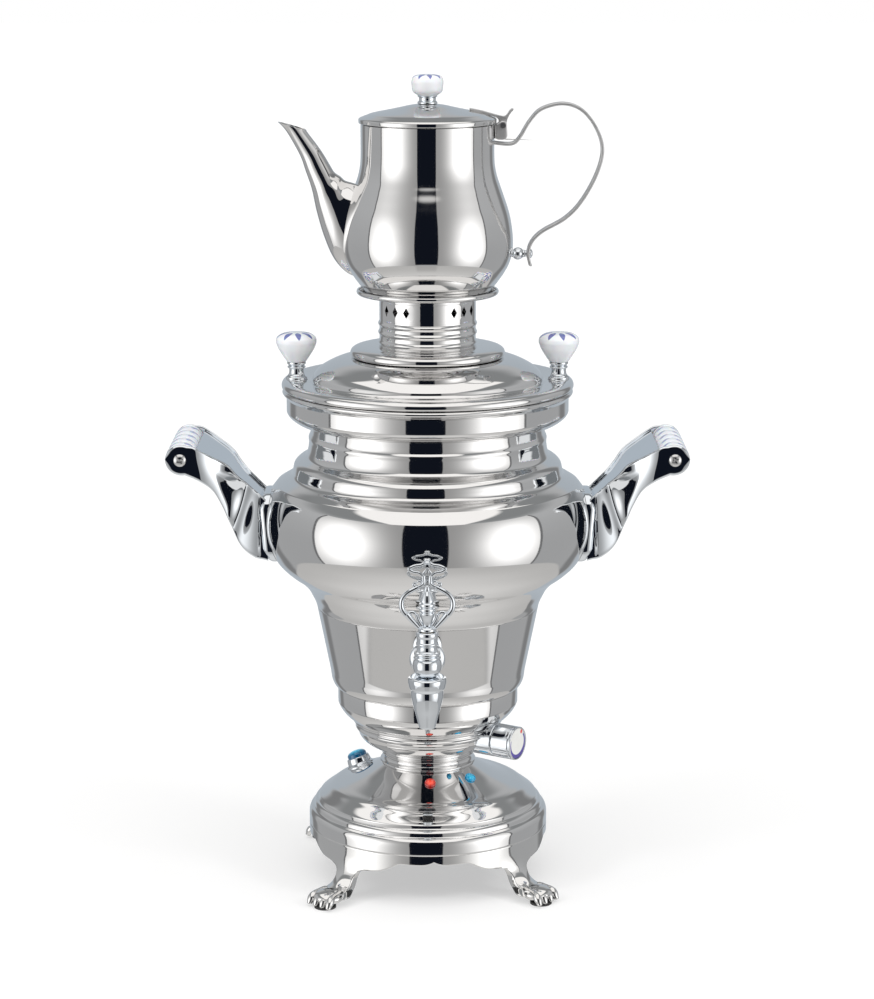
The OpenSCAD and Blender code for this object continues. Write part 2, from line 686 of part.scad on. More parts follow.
module tap_nut() {
    color(steel) at_tap() backward() difference() {
        translate([0, 0, tap_inside + skin]) cylinder(r = 9, h = 4, $fn = 6);
        cylinder(r = tail_r + run_fit, h = far);
    }
}
nozzle_line = [[11.4, 0], [11.8, -0.8], [11.4, -7], [10.4, -8], [10, -13], [8.5, -19], [7, -24.5], [4.9,
    -33]];
module tap_nozzle() {
    color(chrome) at_tap() translate([0, 0, tap_bottom]) difference() {
        lathe(concat([[0, 0]], smooth(nozzle_line, 3), [[0, -33]]));
        translate([0, 0, -40]) cylinder(r = 3.2, h = 60);
    }
}
collar_plug_r = plug_r + 1.3;
bonnet_line = [[8.2, 0], [8.2, 1.4], [7.2, 2], [8, 2.6], [8, 3.8], [6.8, 4.6], [6.2, 6.4], [6.3, 10],
    [6.9, 16],
    [6.9, 17]];
module tap_bonnet() {
    color(chrome) at_tap() difference() {
        translate([0, 0, tap_top]) lathe(concat([[0, 0]], bonnet_line, [[0, bonnet_h]]));
        cylinder(r = plug_r + run_fit, h = far);
        translate([0, 0, tap_top - 1]) cylinder(r = collar_plug_r + skin, h = 10);
    }
}
module tap_plug() {
    color("#c9a24f") at_tap() difference() {
        union() {
            translate([0, 0, tap_bottom + 2 + skin]) cylinder(r = plug_r,
                h = key_z - tap_bottom - 2 - skin);
            translate([0, 0, tap_top + 5]) cylinder(r = collar_plug_r, h = 3.9);
            translate([0, 0, key_z - 1]) cylinder(r = 2.5, h = 6);
        }
        translate([0, 0, tap_bottom]) cylinder(r = water_r - 0.4, h = tap_z - tap_bottom);
        translate([0, 0, tap_z]) rotate([0, 90, 0]) cylinder(r = water_r - 0.4, h = 10);
    }
}
// right half of the key seen from the front: [share of half the width, height over its foot]
key_half = [[0.16, 45.4], [0.11, 43.6], [0.16, 42.2], [0.35, 41.8], [0.58, 40.9], [0.72, 39.1], [0.58, 37],
    [0.4, 35.9], [0.22, 34.2], [0.15, 32.2], [0.16, 30.2], [0.28, 28.2], [0.45, 27.5], [0.52, 28.4],
    [0.52, 26.7], [0.65, 24.5], [0.88, 21.2], [1, 17.2], [0.96, 13.2], [0.82, 10], [0.86, 8.9], [0.33, 1.4],
    [0.33, 0]];
key_window = [[0.08, 25], [0.4, 25], [0.58, 22.9], [0.78, 19.7], [0.88, 17], [0.85, 13.4], [0.71, 10.2],
    [0.22, 3], [0.08, 3]];
crown_window = [[-0.42, 38.9], [0, 40.6], [0.42, 38.9], [0.3, 37.6], [0, 36.9], [-0.3, 37.6]];
spindle_line = [[2.2, 2], [3.4, 6], [4.6, 10], [4.9, 11.4], [4.3, 12], [5.1, 12.8], [5.1, 14.2], [4.4, 15],
    [5.1, 15.8], [5.1, 17.2], [4.3, 18], [4.6, 19], [3.2, 22.5], [2, 26]];
function key_points(p) = [for (q = p) [q.x * key_w / 2, q.y]];
module tap_key() {
    color(chrome) at_tap() translate([0, 0, key_z]) difference() {
        union() {
            rotate([90, 0, 0]) linear_extrude(5, center = true) difference() {
                polygon(key_points(concat(key_half, reverse([for (p = key_half) [-p.x, p.y]]))));
                polygon(key_points(key_window));
                polygon(key_points([for (p = key_window) [-p.x, p.y]]));
                polygon(key_points(crown_window));
            }
            lathe(concat([[0, 2]], spindle_line, [[0, 26]]));
            cylinder(r = 5.6, h = 3);
        }
        translate([0, 0, -1]) cylinder(r = 2.5 + run_fit, h = 6.2);
    }
}

// --- side handles, right one drawn, left one mirrored ---
taper = atan((grip_half - root_half) / (grip_x - root_x - 7));
function handle_points(p) = spread(p, root_x, grip_x, root_z, grip_z);
under_line = smooth(handle_points([[-0.1, -0.02], [0.12, 0], [0.235, 0.03], [0.375, 0.155], [0.49, 0.39],
    [0.565, 0.555], [0.66, 0.705], [0.8, 0.8], [0.95, 0.857]]));
over_line = smooth(handle_points([[0.93, 1.13], [0.86, 1.122], [0.79, 1.09], [0.656, 1.02], [0.504, 0.936],
    [0.398, 0.823], [0.29, 0.729], [0.1, 0.574], [-0.1, 0.41]]));
cheek_end = 9.4;
cheek_line = concat(under_line, arc([grip_x, grip_z], cheek_end, -85, 95, 10), over_line);
function half_at(x) = root_half + (x - root_x - 7) * tan(taper);
// plan of the space between the outer faces of the cheeks, narrowed by inset on each side
module handle_plan(inset, from = root_x - 20, to = grip_x + 20) {
    linear_extrude(far) polygon([
        [from, half_at(from) - inset], [to, half_at(to) - inset],
        [to, inset - half_at(to)], [from, inset - half_at(from)]
    ]);
}
// seat of a screw on the outer face of the rear cheek, pointing outward
module on_cheek() {
    translate([grip_x, half_at(grip_x), grip_z]) rotate([0, 0, taper]) rotate([-90, 0, 0]) children();
}
module cheeks() {
    for (s = [0, 1]) mirror([0, s, 0]) difference() {
        translate([root_x + 7, root_half, 0]) rotate([0, 0, taper]) rotate([90, 0,
            0]) linear_extrude(cheek_t)
            polygon([for (p = cheek_line) [(p.x - root_x - 7) / cos(taper), p.y]]);
        on_cheek() cylinder(r = screw_r + run_fit, h = 12, center = true);
    }
}
module belly_solid(grown) {
    lathe(concat([[0, belly_z]], beside(belly_line, -grown), [[0, shoulder_z]]));
}
flange_z = root_z + 20;
web_end = 0.86;
module handle_bracket() {
    web = [for (p = over_line) if (p.x < root_x + web_end * (grip_x - root_x)) p];
    color(chrome) difference() {
        union() {
            cheeks();
            intersection() {
                rotate([90, 0, 0]) linear_extrude(far, center = true) polygon(sheet_along(web, cheek_t));
                handle_plan(cheek_t / 2);
            }
            intersection() {
                belly_solid(flange_t);
                translate([0, 0, flange_z]) rotate([90, 0, 90]) linear_extrude(far)
                    polygon(round_box(2 * root_half + 2, 44, 8));
            }
        }
        belly_solid(skin);
        for (z = bolt_z) translate([0, 0, z]) rotate([0, 90, 0])
            cylinder(r = bolt_r + run_fit, h = radius_at(tank_line, z) + flange_t - 0.8);
    }
}
module handle_bracket_right() {
    handle_bracket();
}
module handle_bracket_left() {
    mirror([1, 0, 0]) handle_bracket();
}
rib_pitch = 5;
grip_inset = cheek_t / cos(taper) + clear;
rib_line = [for (y = [-45 : rib_pitch / 6 : 45]) [grip_r - 0.4 * (1 - cos(360 * y / rib_pitch)) / 2, y]];
module handle_grip() {
    color(porcelain) difference() {
        intersection() {
            translate([grip_x, 0, grip_z]) rotate([90, 0, 0])
                lathe(concat([[0, -45]], rib_line, [[0, 45]]));
            handle_plan(grip_inset);
        }
        for (s = [0, 1]) mirror([0, s, 0]) on_cheek() translate([0, 0, -16])
            cylinder(r = screw_r + run_fit, h = 20);
    }
}
module handle_grip_right() {
    handle_grip();
}
module handle_grip_left() {
    mirror([1, 0, 0]) handle_grip();
}
gasket_t = 1.2;
gasket_r = 5.5;
// inner face of a bolt's gasket, where the wall is nearest to the axis
function bolt_seat(z) =
    min(radius_at(tank_line, z - gasket_r), radius_at(tank_line,
        z + gasket_r)) - tank_wall - gasket_t - skin;
module handle_bolts() {
    color(steel) sides() for (z = bolt_z) translate([bolt_seat(z) - skin, 0, z]) rotate([0, 90, 0]) {
        cylinder(r = bolt_r, h = radius_at(tank_line, z) + flange_t - 1.2 - bolt_seat(z));
        translate([0, 0, -3]) cylinder(r = 4.6, h = 3, $fn = 6);
    }
}
module grip_screws() {
    color(steel) sides() for (s = [0, 1]) mirror([0, s, 0]) on_cheek() pan_screw(4, 2.6, screw_r, 15);
}
// the seals where the tap and the handles' bolts pass through the tank's wall
module gaskets() {
    color(black) {
        sides() for (z = bolt_z) translate([bolt_seat(z), 0, z]) rotate([0, 90, 0]) difference() {
            cylinder(r = gasket_r, h = gasket_t);
            cylinder(r = bolt_r + run_fit, h = 30, center = true);
        }
        difference() {
            at_tap() backward() translate([0, 0, tap_flange + skin]) cylinder(r = 9, h = 7);
            at_tap() backward() cylinder(r = tail_r + run_fit, h = far);
            tank_solid(skin);
        }
        intersection() {
            at_tap() backward() translate([0, 0, tap_flange]) difference() {
                cylinder(r = 9, h = tap_inside - tap_flange);
                cylinder(r = tail_r + run_fit, h = far);
            }
            tank_solid(-tank_wall - skin);
        }
    }
}

// --- lid ---
upstand_r = gallery_r - sheet - 0.5;
skirt_r = collar_r - sheet - 0.5;
knob_foot = lid_z + 5.2;
stem_h = 11;
knob_h = 19;
module at_knobs() {
    sides() translate([knob_x, 0, knob_foot]) children();
}
module lid_dome() {
    color(steel) difference() {
        lathe(sheet_along(concat(lid_line, [[tier_r - 10, lid_top]]), sheet));
        at_knobs() cylinder(r = screw_r + run_fit, h = 20, center = true);
    }
}
module lid_tier() {
    color(steel) lathe(sheet_along(concat(tier_line, [[upstand_r, tier_top + 0.1], [upstand_r,
        tier_top + 5]]), sheet));
}
module lid_skirt() {
    color(steel) difference() {
        translate([0, 0, lid_z + 4.8 - skirt_h]) cylinder(r = skirt_r, h = skirt_h);
        cylinder(r = skirt_r - 1, h = far);
    }
}
stem_line = [[6.75, 0], [6.75, 1.4], [4.9, 3.6], [4.7, 6.8], [5, 8.2], [6, 9.4], [6, stem_h]];
module lid_knob_stems() {
    color(chrome) difference() {
        at_knobs() difference() {
            translate([0, 0, -1]) lathe(concat([[0, 0]],
                [for (p = stem_line) [p.x, p.y + (p.y > 0 ? 1 : 0)]], [[0, stem_h + 1]]));
            cylinder(r = screw_r + run_fit, h = far, center = true);
        }
        lathe(concat([[0, lid_z]], beside(lid_line, -0.02), [[0, lid_top]]));
    }
}
knob_line = smooth(spread([[0.45, 0], [0.49, 0.04], [0.66, 0.2], [0.86, 0.42], [0.97, 0.6], [1, 0.7],
    [0.95, 0.83], [0.7, 0.95], [0.35, 0.99], [0, 1]], 0, knob_r, 0, knob_h), 3);
module lid_knobs() {
    color(porcelain) at_knobs() translate([0, 0, stem_h]) difference() {
        lathe(concat([[0, 0.02]], [for (p = knob_line) [p.x, max(p.y, 0.02)]]));
        translate([0, 0, -1]) cylinder(r = screw_r + run_fit, h = 11);
    }
}
module lid_knob_screws() {
    color(steel) at_knobs() translate([0, 0, -1.3]) mirror([0, 0, 1]) pan_screw(3.8, 2.4, screw_r,
        stem_h + 9);
}

// --- crown ---
module crown_gallery() {
    color(steel) difference() {
        union() {
            translate([0, 0, crown_z]) cylinder(r = gallery_r, h = gallery_h);
            for (z = [2, 8, 13.6]) translate([0, 0, crown_z + z]) rotate_extrude()
                translate([gallery_r - 0.3, 0]) circle(r = 0.9, $fn = 24);
        }
        translate([0, 0, crown_z - 1]) cylinder(r = gallery_r - sheet, h = far);
        around(4, crown_turn - 45) for (i = [-1 : 1]) rotate([0, 0, 15.6 * i])
            translate([0, 0, crown_z + 23.2]) rotate([90, 0, 0])
                linear_extrude(far) polygon([[2.2, 0], [0, 3.5], [-2.2, 0], [0, -3.5]]);
    }
}
dish_hole = 22;
dish_t = 1.2;
dish_rise = dish_floor - dish_t;
dish_line = [[dish_hole, dish_z], [gallery_r + 1.2, dish_z], [gallery_r + 3, dish_z + dish_rise],
    [dish_r - 3, dish_z + dish_rise], [dish_r - 1, dish_z + dish_rise + 0.6], [dish_r, dish_z + 2.6],
    [dish_r - 0.6, dish_z + dish_h]];
module crown_dish() {
    color(steel) lathe(sheet_along(dish_line, dish_t));
}

// --- teapot ---
pot_foot = pot_line[0].x;
pot_outline = concat(pot_line, [[pot_mouth_r, pot_top]]);
spout_z = pot_z - 386.3;       // keeps the spout and handle with the body
module pot_solid(grown) {
    lathe(concat([[0, pot_z]], beside(pot_outline, -grown), [[0, pot_top + 1]]));
}
module teapot_body() {
    color(steel) difference() {
        lathe(concat([[0, pot_z + 1], [pot_foot - 3, pot_z + 1], [pot_foot - 2, pot_z]], pot_outline,
            reverse(beside(pot_outline, sheet)), [[pot_foot - 3, pot_z + 1.8], [0, pot_z + 1.8]]));
        for (i = [-2 : 2], j = [-1 : 1]) translate([0, j * 5.5, pot_z + 40 + i * 7]) rotate([0, -90, 0])
            cylinder(r = 1.5, h = far, $fn = 24);
        translate([0, 0, ball_z]) rotate([0, 90, 0]) cylinder(r = 1.5 + run_fit, h = far, $fn = 24);
    }
}
// spout sections: [lower point, upper point, half width], seen from the front
spout = [
    [[-36, 394], [-36, 450], 12.6], [[-49.9, 398], [-44.7, 455], 12.6], [[-59.3, 407.6], [-51.8, 457.3],
        12],
    [[-65.6, 421.8], [-55, 460], 11], [[-70.2, 437.7], [-58.8, 462.7], 9.5], [[-73.2, 452], [-61.5, 467],
        8],
    [[-77, 463.5], [-65, 473], 7], [[-80.6, 473.6], [-69, 479], 6.2], [[-88.6, 487.9], [-75.9, 488.2], 6],
    [[-94.2, 494.2], [-75.9, 489], 5.8]
];
spout_sides = 20;
function spout_ring(s, wall) =
    let(mid = (s[0] + s[1]) / 2, along = (s[1] - s[0]) / 2, u = along / norm(along))
    [for (i = [0 : spout_sides - 1]) let(a = 360 * i / spout_sides,
        q = mid + u * (norm(along) - wall) * cos(a))
        [q.x, (s[2] - wall) * sin(a), q.y + spout_z]];
module loft(rings) {
    n = len(rings[0]);
    last = len(rings) - 1;
    polyhedron(
        [for (r = rings) each r],
        concat(
            [for (i = [0 : last - 1], k = [0 : n - 1]) [i * n + k, (i + 1) * n + k,
                (i + 1) * n + (k + 1) % n]],
            [for (i = [0 : last - 1], k = [0 : n - 1]) [i * n + k, (i + 1) * n + (k + 1) % n,
                i * n + (k + 1) % n]],
            [for (k = [1 : n - 2]) [0, k, k + 1]],
            [for (k = [1 : n - 2]) [last * n, last * n + k + 1, last * n + k]]
        )
    );
}
// sections in between, so that the spout bends smoothly
function between(list, n) = [
    for (i = [0 : len(list) - 2], k = [0 : n - 1])
        let(a = list[max(i - 1, 0)], b = list[i], c = list[i + 1], d = list[min(i + 2, len(list) - 1)],
            t = k / n)
        [blend4(a[0], b[0], c[0], d[0], t), blend4(a[1], b[1], c[1], d[1], t), blend4(a[2], b[2], c[2],
            d[2], t)],
    list[len(list) - 1]
];
past_root = [[-30, 394], [-30, 450], 12.6];
past_tip = [[-100, 500], [-76, 494], 5.6];
module teapot_spout() {
    color(steel) difference() {
        loft([for (s = between(spout, 2)) spout_ring(s, 0)]);
        loft([for (s = concat([past_root], between(spout, 2), [past_tip])) spout_ring(s, sheet)]);
        pot_solid(skin);
    }
}
strip_path = smooth([[40.8, 482.4], [52.4, 481.6], [57.3, 485.5], [63.4, 495.5], [71.2, 503.3], [85.2,
    506.7],
    [97.6, 502.5], [107, 491], [111.3, 477], [107.6, 461.2], [98.2, 444], [87.7, 433], [73.2, 424.6],
    [66.9, 418.2], [64.8, 411], [66.4, 403.4]]);
ball_x = 57.4;
strip_in = 64.8 - strip_t - 0.1;       // face of the strip that the ball's neck meets
ball_z = 411.1 + spout_z;
module teapot_handle() {
    color(steel) difference() {
        translate([0, 0, spout_z]) rotate([90, 0, 0]) linear_extrude(strip_w, center = true)
            polygon(sheet_along(strip_path, -strip_t));
        pot_solid(skin);
        translate([0, 0, ball_z]) rotate([0, 90, 0]) cylinder(r = 1.5 + run_fit, h = far, $fn = 24);
    }
}
module teapot_handle_spacer() {
    color(chrome) difference() {
        union() {
            translate([ball_x, 0, ball_z]) sphere(r = ball_r, $fn = 48);
            translate([50, 0, ball_z]) rotate([0, 90, 0]) cylinder(r = 2.4, h = strip_in - 50, $fn = 32);
            translate([45, 0, ball_z]) rotate([0, 90, 0]) cylinder(r = 1.5, h = strip_in - 42, $fn = 32);
            translate([strip_in + strip_t + 0.5, 0, ball_z]) rotate([0, 90, 0])
                cylinder(r1 = 3, r2 = 2, h = 2, $fn = 32);
        }
        difference() {
            pot_solid(skin);
            translate([0, 0, ball_z]) rotate([0, 90, 0]) cylinder(r = 1.5, h = far, $fn = 32);
        }
    }
}
hinge_x = pot_mouth_r + 5.2;
hinge_z = pot_top - 0.5;
knuckle_r = 2.6;
knuckle_half = 2;
bracket_half = 5.5;
module at_hinge() {
    translate([hinge_x, 0, hinge_z]) rotate([90, 0, 0]) children();
}
module teapot_hinge_bracket() {
    color(steel) difference() {
        union() {
            at_hinge() cylinder(r = knuckle_r, h = 2 * bracket_half, center = true);
            translate([pot_mouth_r - 1, -bracket_half, hinge_z - 9.6])
                cube([hinge_x - pot_mouth_r + 1 + knuckle_r, 2 * bracket_half, 9.6]);
        }
        at_hinge() cylinder(r = knuckle_r + 1, h = 2 * (knuckle_half + clear), center = true);
        translate([hinge_x - 9, -knuckle_half - clear, hinge_z - 3.6]) cube([20,
            2 * (knuckle_half + clear), 20]);
        at_hinge() cylinder(r = pin_r + run_fit, h = 40, center = true);
        pot_solid(skin);
        translate([0, 0, pot_top]) cylinder(r = pot_mouth_r + 1.2 + clear, h = 10);
    }
}
module teapot_hinge_pin() {
    color(steel) {
        at_hinge() cylinder(r = pin_r, h = 2 * bracket_half + 1, center = true);
        for (s = [-1, 1]) translate([hinge_x, s * (bracket_half + 0.9), hinge_z]) rotate([90, 0, 0])
            cylinder(r = pin_r + 0.6, h = 1, center = true);
    }
}
lid_ring_r = pot_mouth_r - sheet - 0.5;
module teapot_lid() {
    color(steel) difference() {
        union() {
            lathe(sheet_along(concat(pot_lid_line, [[0, pot_lid_z + 12.2]]), sheet));
            difference() {
                translate([0, 0, pot_lid_z - 5]) cylinder(r = lid_ring_r, h = 8.5);
                cylinder(r = lid_ring_r - sheet, h = far * 2);
            }
        }
        cylinder(r = 2 + run_fit, h = far * 2);
    }
}
strap_line = [[-20.8, 9.1], [-12.9, 7.2], [-6.6, 5.6], [-4, 4.6], [-2.9, 3.4], [-2.2, 1.4], [2.2, 1.4],
    [2.8, 4],
    [6.6, 9.6], [5.6, 10.1], [1.4, 5.4], [-3.2, 6], [-12.6, 8.5], [-20.8, 10.4]];
module teapot_lid_strap() {
    color(steel) difference() {
        union() {
            translate([hinge_x, 0, hinge_z]) rotate([90, 0, 0])
                linear_extrude(2 * knuckle_half, center = true) polygon(strap_line);
            at_hinge() cylinder(r = knuckle_r - 0.2, h = 2 * knuckle_half, center = true);
        }
        at_hinge() cylinder(r = pin_r + run_fit, h = 40, center = true);
        lathe(concat([[0, pot_lid_z]], [for (p = beside(pot_lid_line, -skin)) p], [[0, pot_lid_z + 12.3]]));
    }
}
ferrule_z = pot_lid_z + 12.2 + skin;
module teapot_lid_ferrule() {
    color(chrome) translate([0, 0, ferrule_z]) {
        lathe([[0, 0], [6.2, 0], [6.2, 1.2], [5.2, 2], [5.2, 4], [6.2, 4.9], [0, 4.9]]);
        translate([0, 0, -4]) cylinder(r = 2, h = 13);
    }
}
pot_knob_line = smooth(spread([[0.58, 0], [0.63, 0.03], [0.92, 0.19], [1, 0.5], [1, 0.7], [0.85, 0.91],
    [0.4, 0.99], [0, 1]], 0, 10, 0, 13.5), 3);
module teapot_lid_knob() {
    color(porcelain) translate([0, 0, ferrule_z + 4.9]) difference() {
        lathe(concat([[0, 0.02]], [for (p = pot_knob_line) [p.x, max(p.y, 0.02)]]));
        translate([0, 0, -1]) cylinder(r = 2 + run_fit, h = 6);
    }
}

foot_ring();
foot_pads();
base_plate();
base_plate_screws();
base_dome();
pedestal_neck();
lower_bowl();
tie_rod();
tank();
tank_belly();
tank_mouth();
collar();
heating_element();
element_glands();
thermal_cutout();
power_inlet();
inlet_pins();
wiring();
thermostat_body();
thermostat_bush();
thermostat_sleeve();
thermostat_shaft();
thermostat_knob();
thermostat_dial();
switch_body();
switch_bezel();
switch_button();
red_lamp();
blue_lamp();
tap_body();
tap_nut();
tap_nozzle();
tap_bonnet();
tap_plug();
tap_key();
handle_bracket_left();
handle_bracket_right();
handle_grip_left();
handle_grip_right();
handle_bolts();
grip_screws();
gaskets();
lid_dome();
lid_tier();
lid_skirt();
lid_knob_stems();
lid_knobs();
lid_knob_screws();
crown_gallery();
crown_dish();
teapot_body();
teapot_spout();
teapot_handle();
teapot_handle_spacer();
teapot_hinge_bracket();
teapot_hinge_pin();
teapot_lid();
teapot_lid_strap();
teapot_lid_ferrule();
teapot_lid_knob();
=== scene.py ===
# %% [markdown]
# # A polished samovar, piece by piece
# A samovar is a stack of thin, spun and polished steel shells with a few cast, chromed fittings
# and some porcelain. The measured frame already holds every piece at its real size. This lesson
# gives each visible piece a finer mesh and a finish, and then builds the studio that the steel
# mirrors, because a mirror has no look of its own.

# %% Load the frame
from math import atan2, cos, degrees, pi, radians, sin, sqrt

import bmesh
import bpy
from mathutils import Matrix, Vector


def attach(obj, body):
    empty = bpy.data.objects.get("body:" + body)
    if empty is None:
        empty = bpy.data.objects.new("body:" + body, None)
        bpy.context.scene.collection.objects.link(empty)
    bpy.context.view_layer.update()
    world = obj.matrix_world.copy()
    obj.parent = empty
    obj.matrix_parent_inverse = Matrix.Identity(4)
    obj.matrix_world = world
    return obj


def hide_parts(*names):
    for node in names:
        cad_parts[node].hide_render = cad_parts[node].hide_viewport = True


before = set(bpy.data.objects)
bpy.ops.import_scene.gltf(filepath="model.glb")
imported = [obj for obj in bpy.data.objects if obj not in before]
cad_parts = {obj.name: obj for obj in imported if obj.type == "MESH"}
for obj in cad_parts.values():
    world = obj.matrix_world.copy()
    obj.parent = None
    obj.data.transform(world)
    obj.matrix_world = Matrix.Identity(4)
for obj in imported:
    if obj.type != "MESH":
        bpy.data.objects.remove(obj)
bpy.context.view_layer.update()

# %% [markdown]
# ## Lines in millimetres
# A maker draws a spun shell as a half outline. A few measured points are enough when a smooth
# curve runs through them. Bezier handles would do as well, but a curve that passes through its
# own points is easier to check against a drawing, so a Catmull-Rom curve is used.

# %% A smooth line through points
def smooth(points, steps=6):
    line = []
    for i in range(len(points) - 1):
        a, b, c, d = (Vector(points[k]) for k in (max(i - 1, 0), i, i + 1, min(i + 2, len(points) - 1)))
        for t in (k / steps for k in range(steps)):
            line.append(0.5 * (2 * b + (c - a) * t + (2 * a - 5 * b + 4 * c - d) * t**2
                               + (3 * b - a - 3 * c + d) * t**3))
    return line + [Vector(points[-1])]


print("points on a short line", len(smooth([(0, 0), (1, 2), (3, 3)])))

# %% Lines that follow, and corners that are rounded
def beside(line, gap):
    """The same line moved to the left of its direction."""
    moved = []
    for i, point in enumerate(line):
        way = (line[min(i + 1, len(line) - 1)] - line[max(i - 1, 0)]).normalized()
        moved.append(point + gap * Vector((-way.y, way.x)))
    return moved


def rounded(points, radius=0.4, steps=4):
    """The line with each inner corner turned into a small arc."""
    points = [Vector(p) for p in points]
    line = [points[0]]
    for before, corner, after in zip(points, points[1:], points[2:]):
        cut = min(radius, 0.45 * (before - corner).length, 0.45 * (after - corner).length)
        start = corner.lerp(before, cut / (before - corner).length)
        end = corner.lerp(after, cut / (after - corner).length)
        line += [start.lerp(corner, t).lerp(corner.lerp(end, t), t)
                 for t in (k / steps for k in range(steps + 1))]
    return line + [points[-1]]


def sheet(line, gauge):
    """Closed outline of sheet metal: its outer side is the line, and its edges are half round."""
    inner = beside(line, gauge)
    first, last = (line[0] - line[1]).normalized(), (line[-1] - line[-2]).normalized()

    def edge(a, b, way):
        middle, reach = (a + b) / 2, (a - b).length / 2
        return [middle + (a - middle) * cos(k) + way * reach * sin(k)
                for k in (pi / 4, pi / 2, 3 * pi / 4)]

    return line + edge(line[-1], inner[-1], last) + inner[::-1] + edge(inner[0], line[0], first)


print("a washer's corner has", len(rounded([(0, 0), (5, 0), (5, 2)])), "points")

# %% [markdown]
# ## From lines to meshes
# Spinning on a lathe gives every round shell, so the same turning is done to the outline here.
# The Screw modifier does this too. Plain lists of points are used instead because every piece
# then also keeps its own drawn coordinates, which the finishes read later.

# %% Turn an outline
def turned(outline, sides=180, closed=True):
    points, rings, faces = [], [], []
    for r, z in outline:
        if r < 0.001:
            rings.append([len(points)] * sides)
            points.append((0, 0, z))
        else:
            rings.append(list(range(len(points), len(points) + sides)))
            points += [(r * cos(2 * pi * k / sides), r * sin(2 * pi * k / sides), z)
                       for k in range(sides)]
    for a, b in zip(rings, rings[1:] + rings[:1] if closed else rings[1:]):
        for k in range(sides):
            corner = list(dict.fromkeys((a[k], a[(k + 1) % sides], b[(k + 1) % sides], b[k])))
            if len(corner) > 2:
                faces.append(corner)
    return points, faces


print("a turned ring has", len(turned([(4, 0), (5, 0), (5, 1)])[1]), "faces")

# %% Join sections into a skin
def skin(rings, loop=False, caps=True):
    n = len(rings[0])
    points = [tuple(p) for ring in rings for p in ring]
    faces = []
    for i in range(len(rings) if loop else len(rings) - 1):
        j = (i + 1) % len(rings)
        faces += [(i * n + k, j * n + k, j * n + (k + 1) % n, i * n + (k + 1) % n) for k in range(n)]
    if caps and not loop:
        faces += [tuple(range(n)), tuple(range((len(rings) - 1) * n, len(rings) * n))]
    return points, faces


def swept(path, section, across=(0, 1, 0), grow=None):
    """Moves a flat section along a path. grow gives the section's scale at each point."""
    rings = []
    for i, point in enumerate(path):
        way = (path[min(i + 1, len(path) - 1)] - path[max(i - 1, 0)]).normalized()
        side = Vector(across).cross(way).normalized()
        up = way.cross(side)
        size = grow[i] if grow else 1
        rings.append([point + size * (x * side + y * up) for x, y in section])
    return skin(rings)


def disc(radius, sides=24):
    return [(radius * cos(2 * pi * k / sides), radius * sin(2 * pi * k / sides)) for k in range(sides)]


def slab(w, h, r, steps=4):
    """A rectangle with rounded corners."""
    return [(x * (w / 2 - r) + r * cos(a), y * (h / 2 - r) + r * sin(a))
            for x, y, start in ((1, 1, 0), (-1, 1, 90), (-1, -1, 180), (1, -1, 270))
            for a in (radians(start + 90 * k / steps) for k in range(steps + 1))]


def blunt(count, ends=3):
    """Scales that round off both ends of a swept piece."""
    half = [sin(pi / 2 * (k + 0.25) / (ends + 0.25)) for k in range(ends)]
    return half + [1.0] * (count - 2 * ends) + half[::-1]


print("a strip's section has", len(slab(9, 2, 0.6)), "points")

# %% Move and join shapes
def moved(shape, matrix):
    return [tuple(matrix @ Vector(p)) for p in shape[0]], shape[1]


def together(*shapes):
    points, faces = [], []
    for some, their in shapes:
        faces += [tuple(i + len(points) for i in face) for face in their]
        points += list(some)
    return points, faces


def shift(x=0, y=0, z=0):
    return Matrix.Translation((x, y, z))


def turn(angle, axis="Z"):
    return Matrix.Rotation(radians(angle), 4, axis)


print("two moved points", moved(([(1, 0, 0)], []), shift(z=2))[0])

# %% [markdown]
# ## One call for every piece
# Each piece is drawn in millimetres round its own axis, given a smooth surface with crisp edges
# where faces meet at an angle, and then set in place in metres. It says which body it moves with
# and which measured node it stands for.

# %% Make a piece
finishes = {}
pieces = {}


def piece(name, shape, finish, body, nodes=(), at=Matrix(), crease=34, bevel=None):
    mesh = bpy.data.meshes.new(name)
    mesh.from_pydata([tuple(p) for p in shape[0]], [], shape[1])
    work = bmesh.new()
    work.from_mesh(mesh)
    bmesh.ops.remove_doubles(work, verts=work.verts, dist=0.004)
    bmesh.ops.dissolve_degenerate(work, edges=work.edges, dist=0.002)
    bmesh.ops.recalc_face_normals(work, faces=work.faces)
    if bevel:
        sharp = [e for e in work.edges if len(e.link_faces) == 2 and e.calc_face_angle() > radians(40)]
        bmesh.ops.bevel(work, geom=sharp, offset=bevel, segments=3, profile=0.5, affect="EDGES")
    work.to_mesh(mesh)
    work.free()
    drawn = mesh.attributes.new("drawn", "FLOAT_VECTOR", "POINT")
    drawn.data.foreach_set("vector", [c for v in mesh.vertices for c in v.co])
    mesh.transform(Matrix.Scale(0.001, 4) @ at)
    mesh.shade_smooth()
    mesh.set_sharp_from_angle(angle=radians(crease))
    thing = bpy.data.objects.new(name, mesh)
    bpy.context.scene.collection.objects.link(thing)
    slot, material = finishes[finish]
    mesh.materials.append(material)
    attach(thing, body)
    if nodes:
        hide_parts(*nodes)
    pieces[name] = thing
    return thing


print("ready for pieces")

# %% [markdown]
# ## Writing finishes as sums
# A finish is a small network of nodes. Written as Python sums it is much easier to read, so one
# class wraps a node's output and turns each sum on it into a Math node.

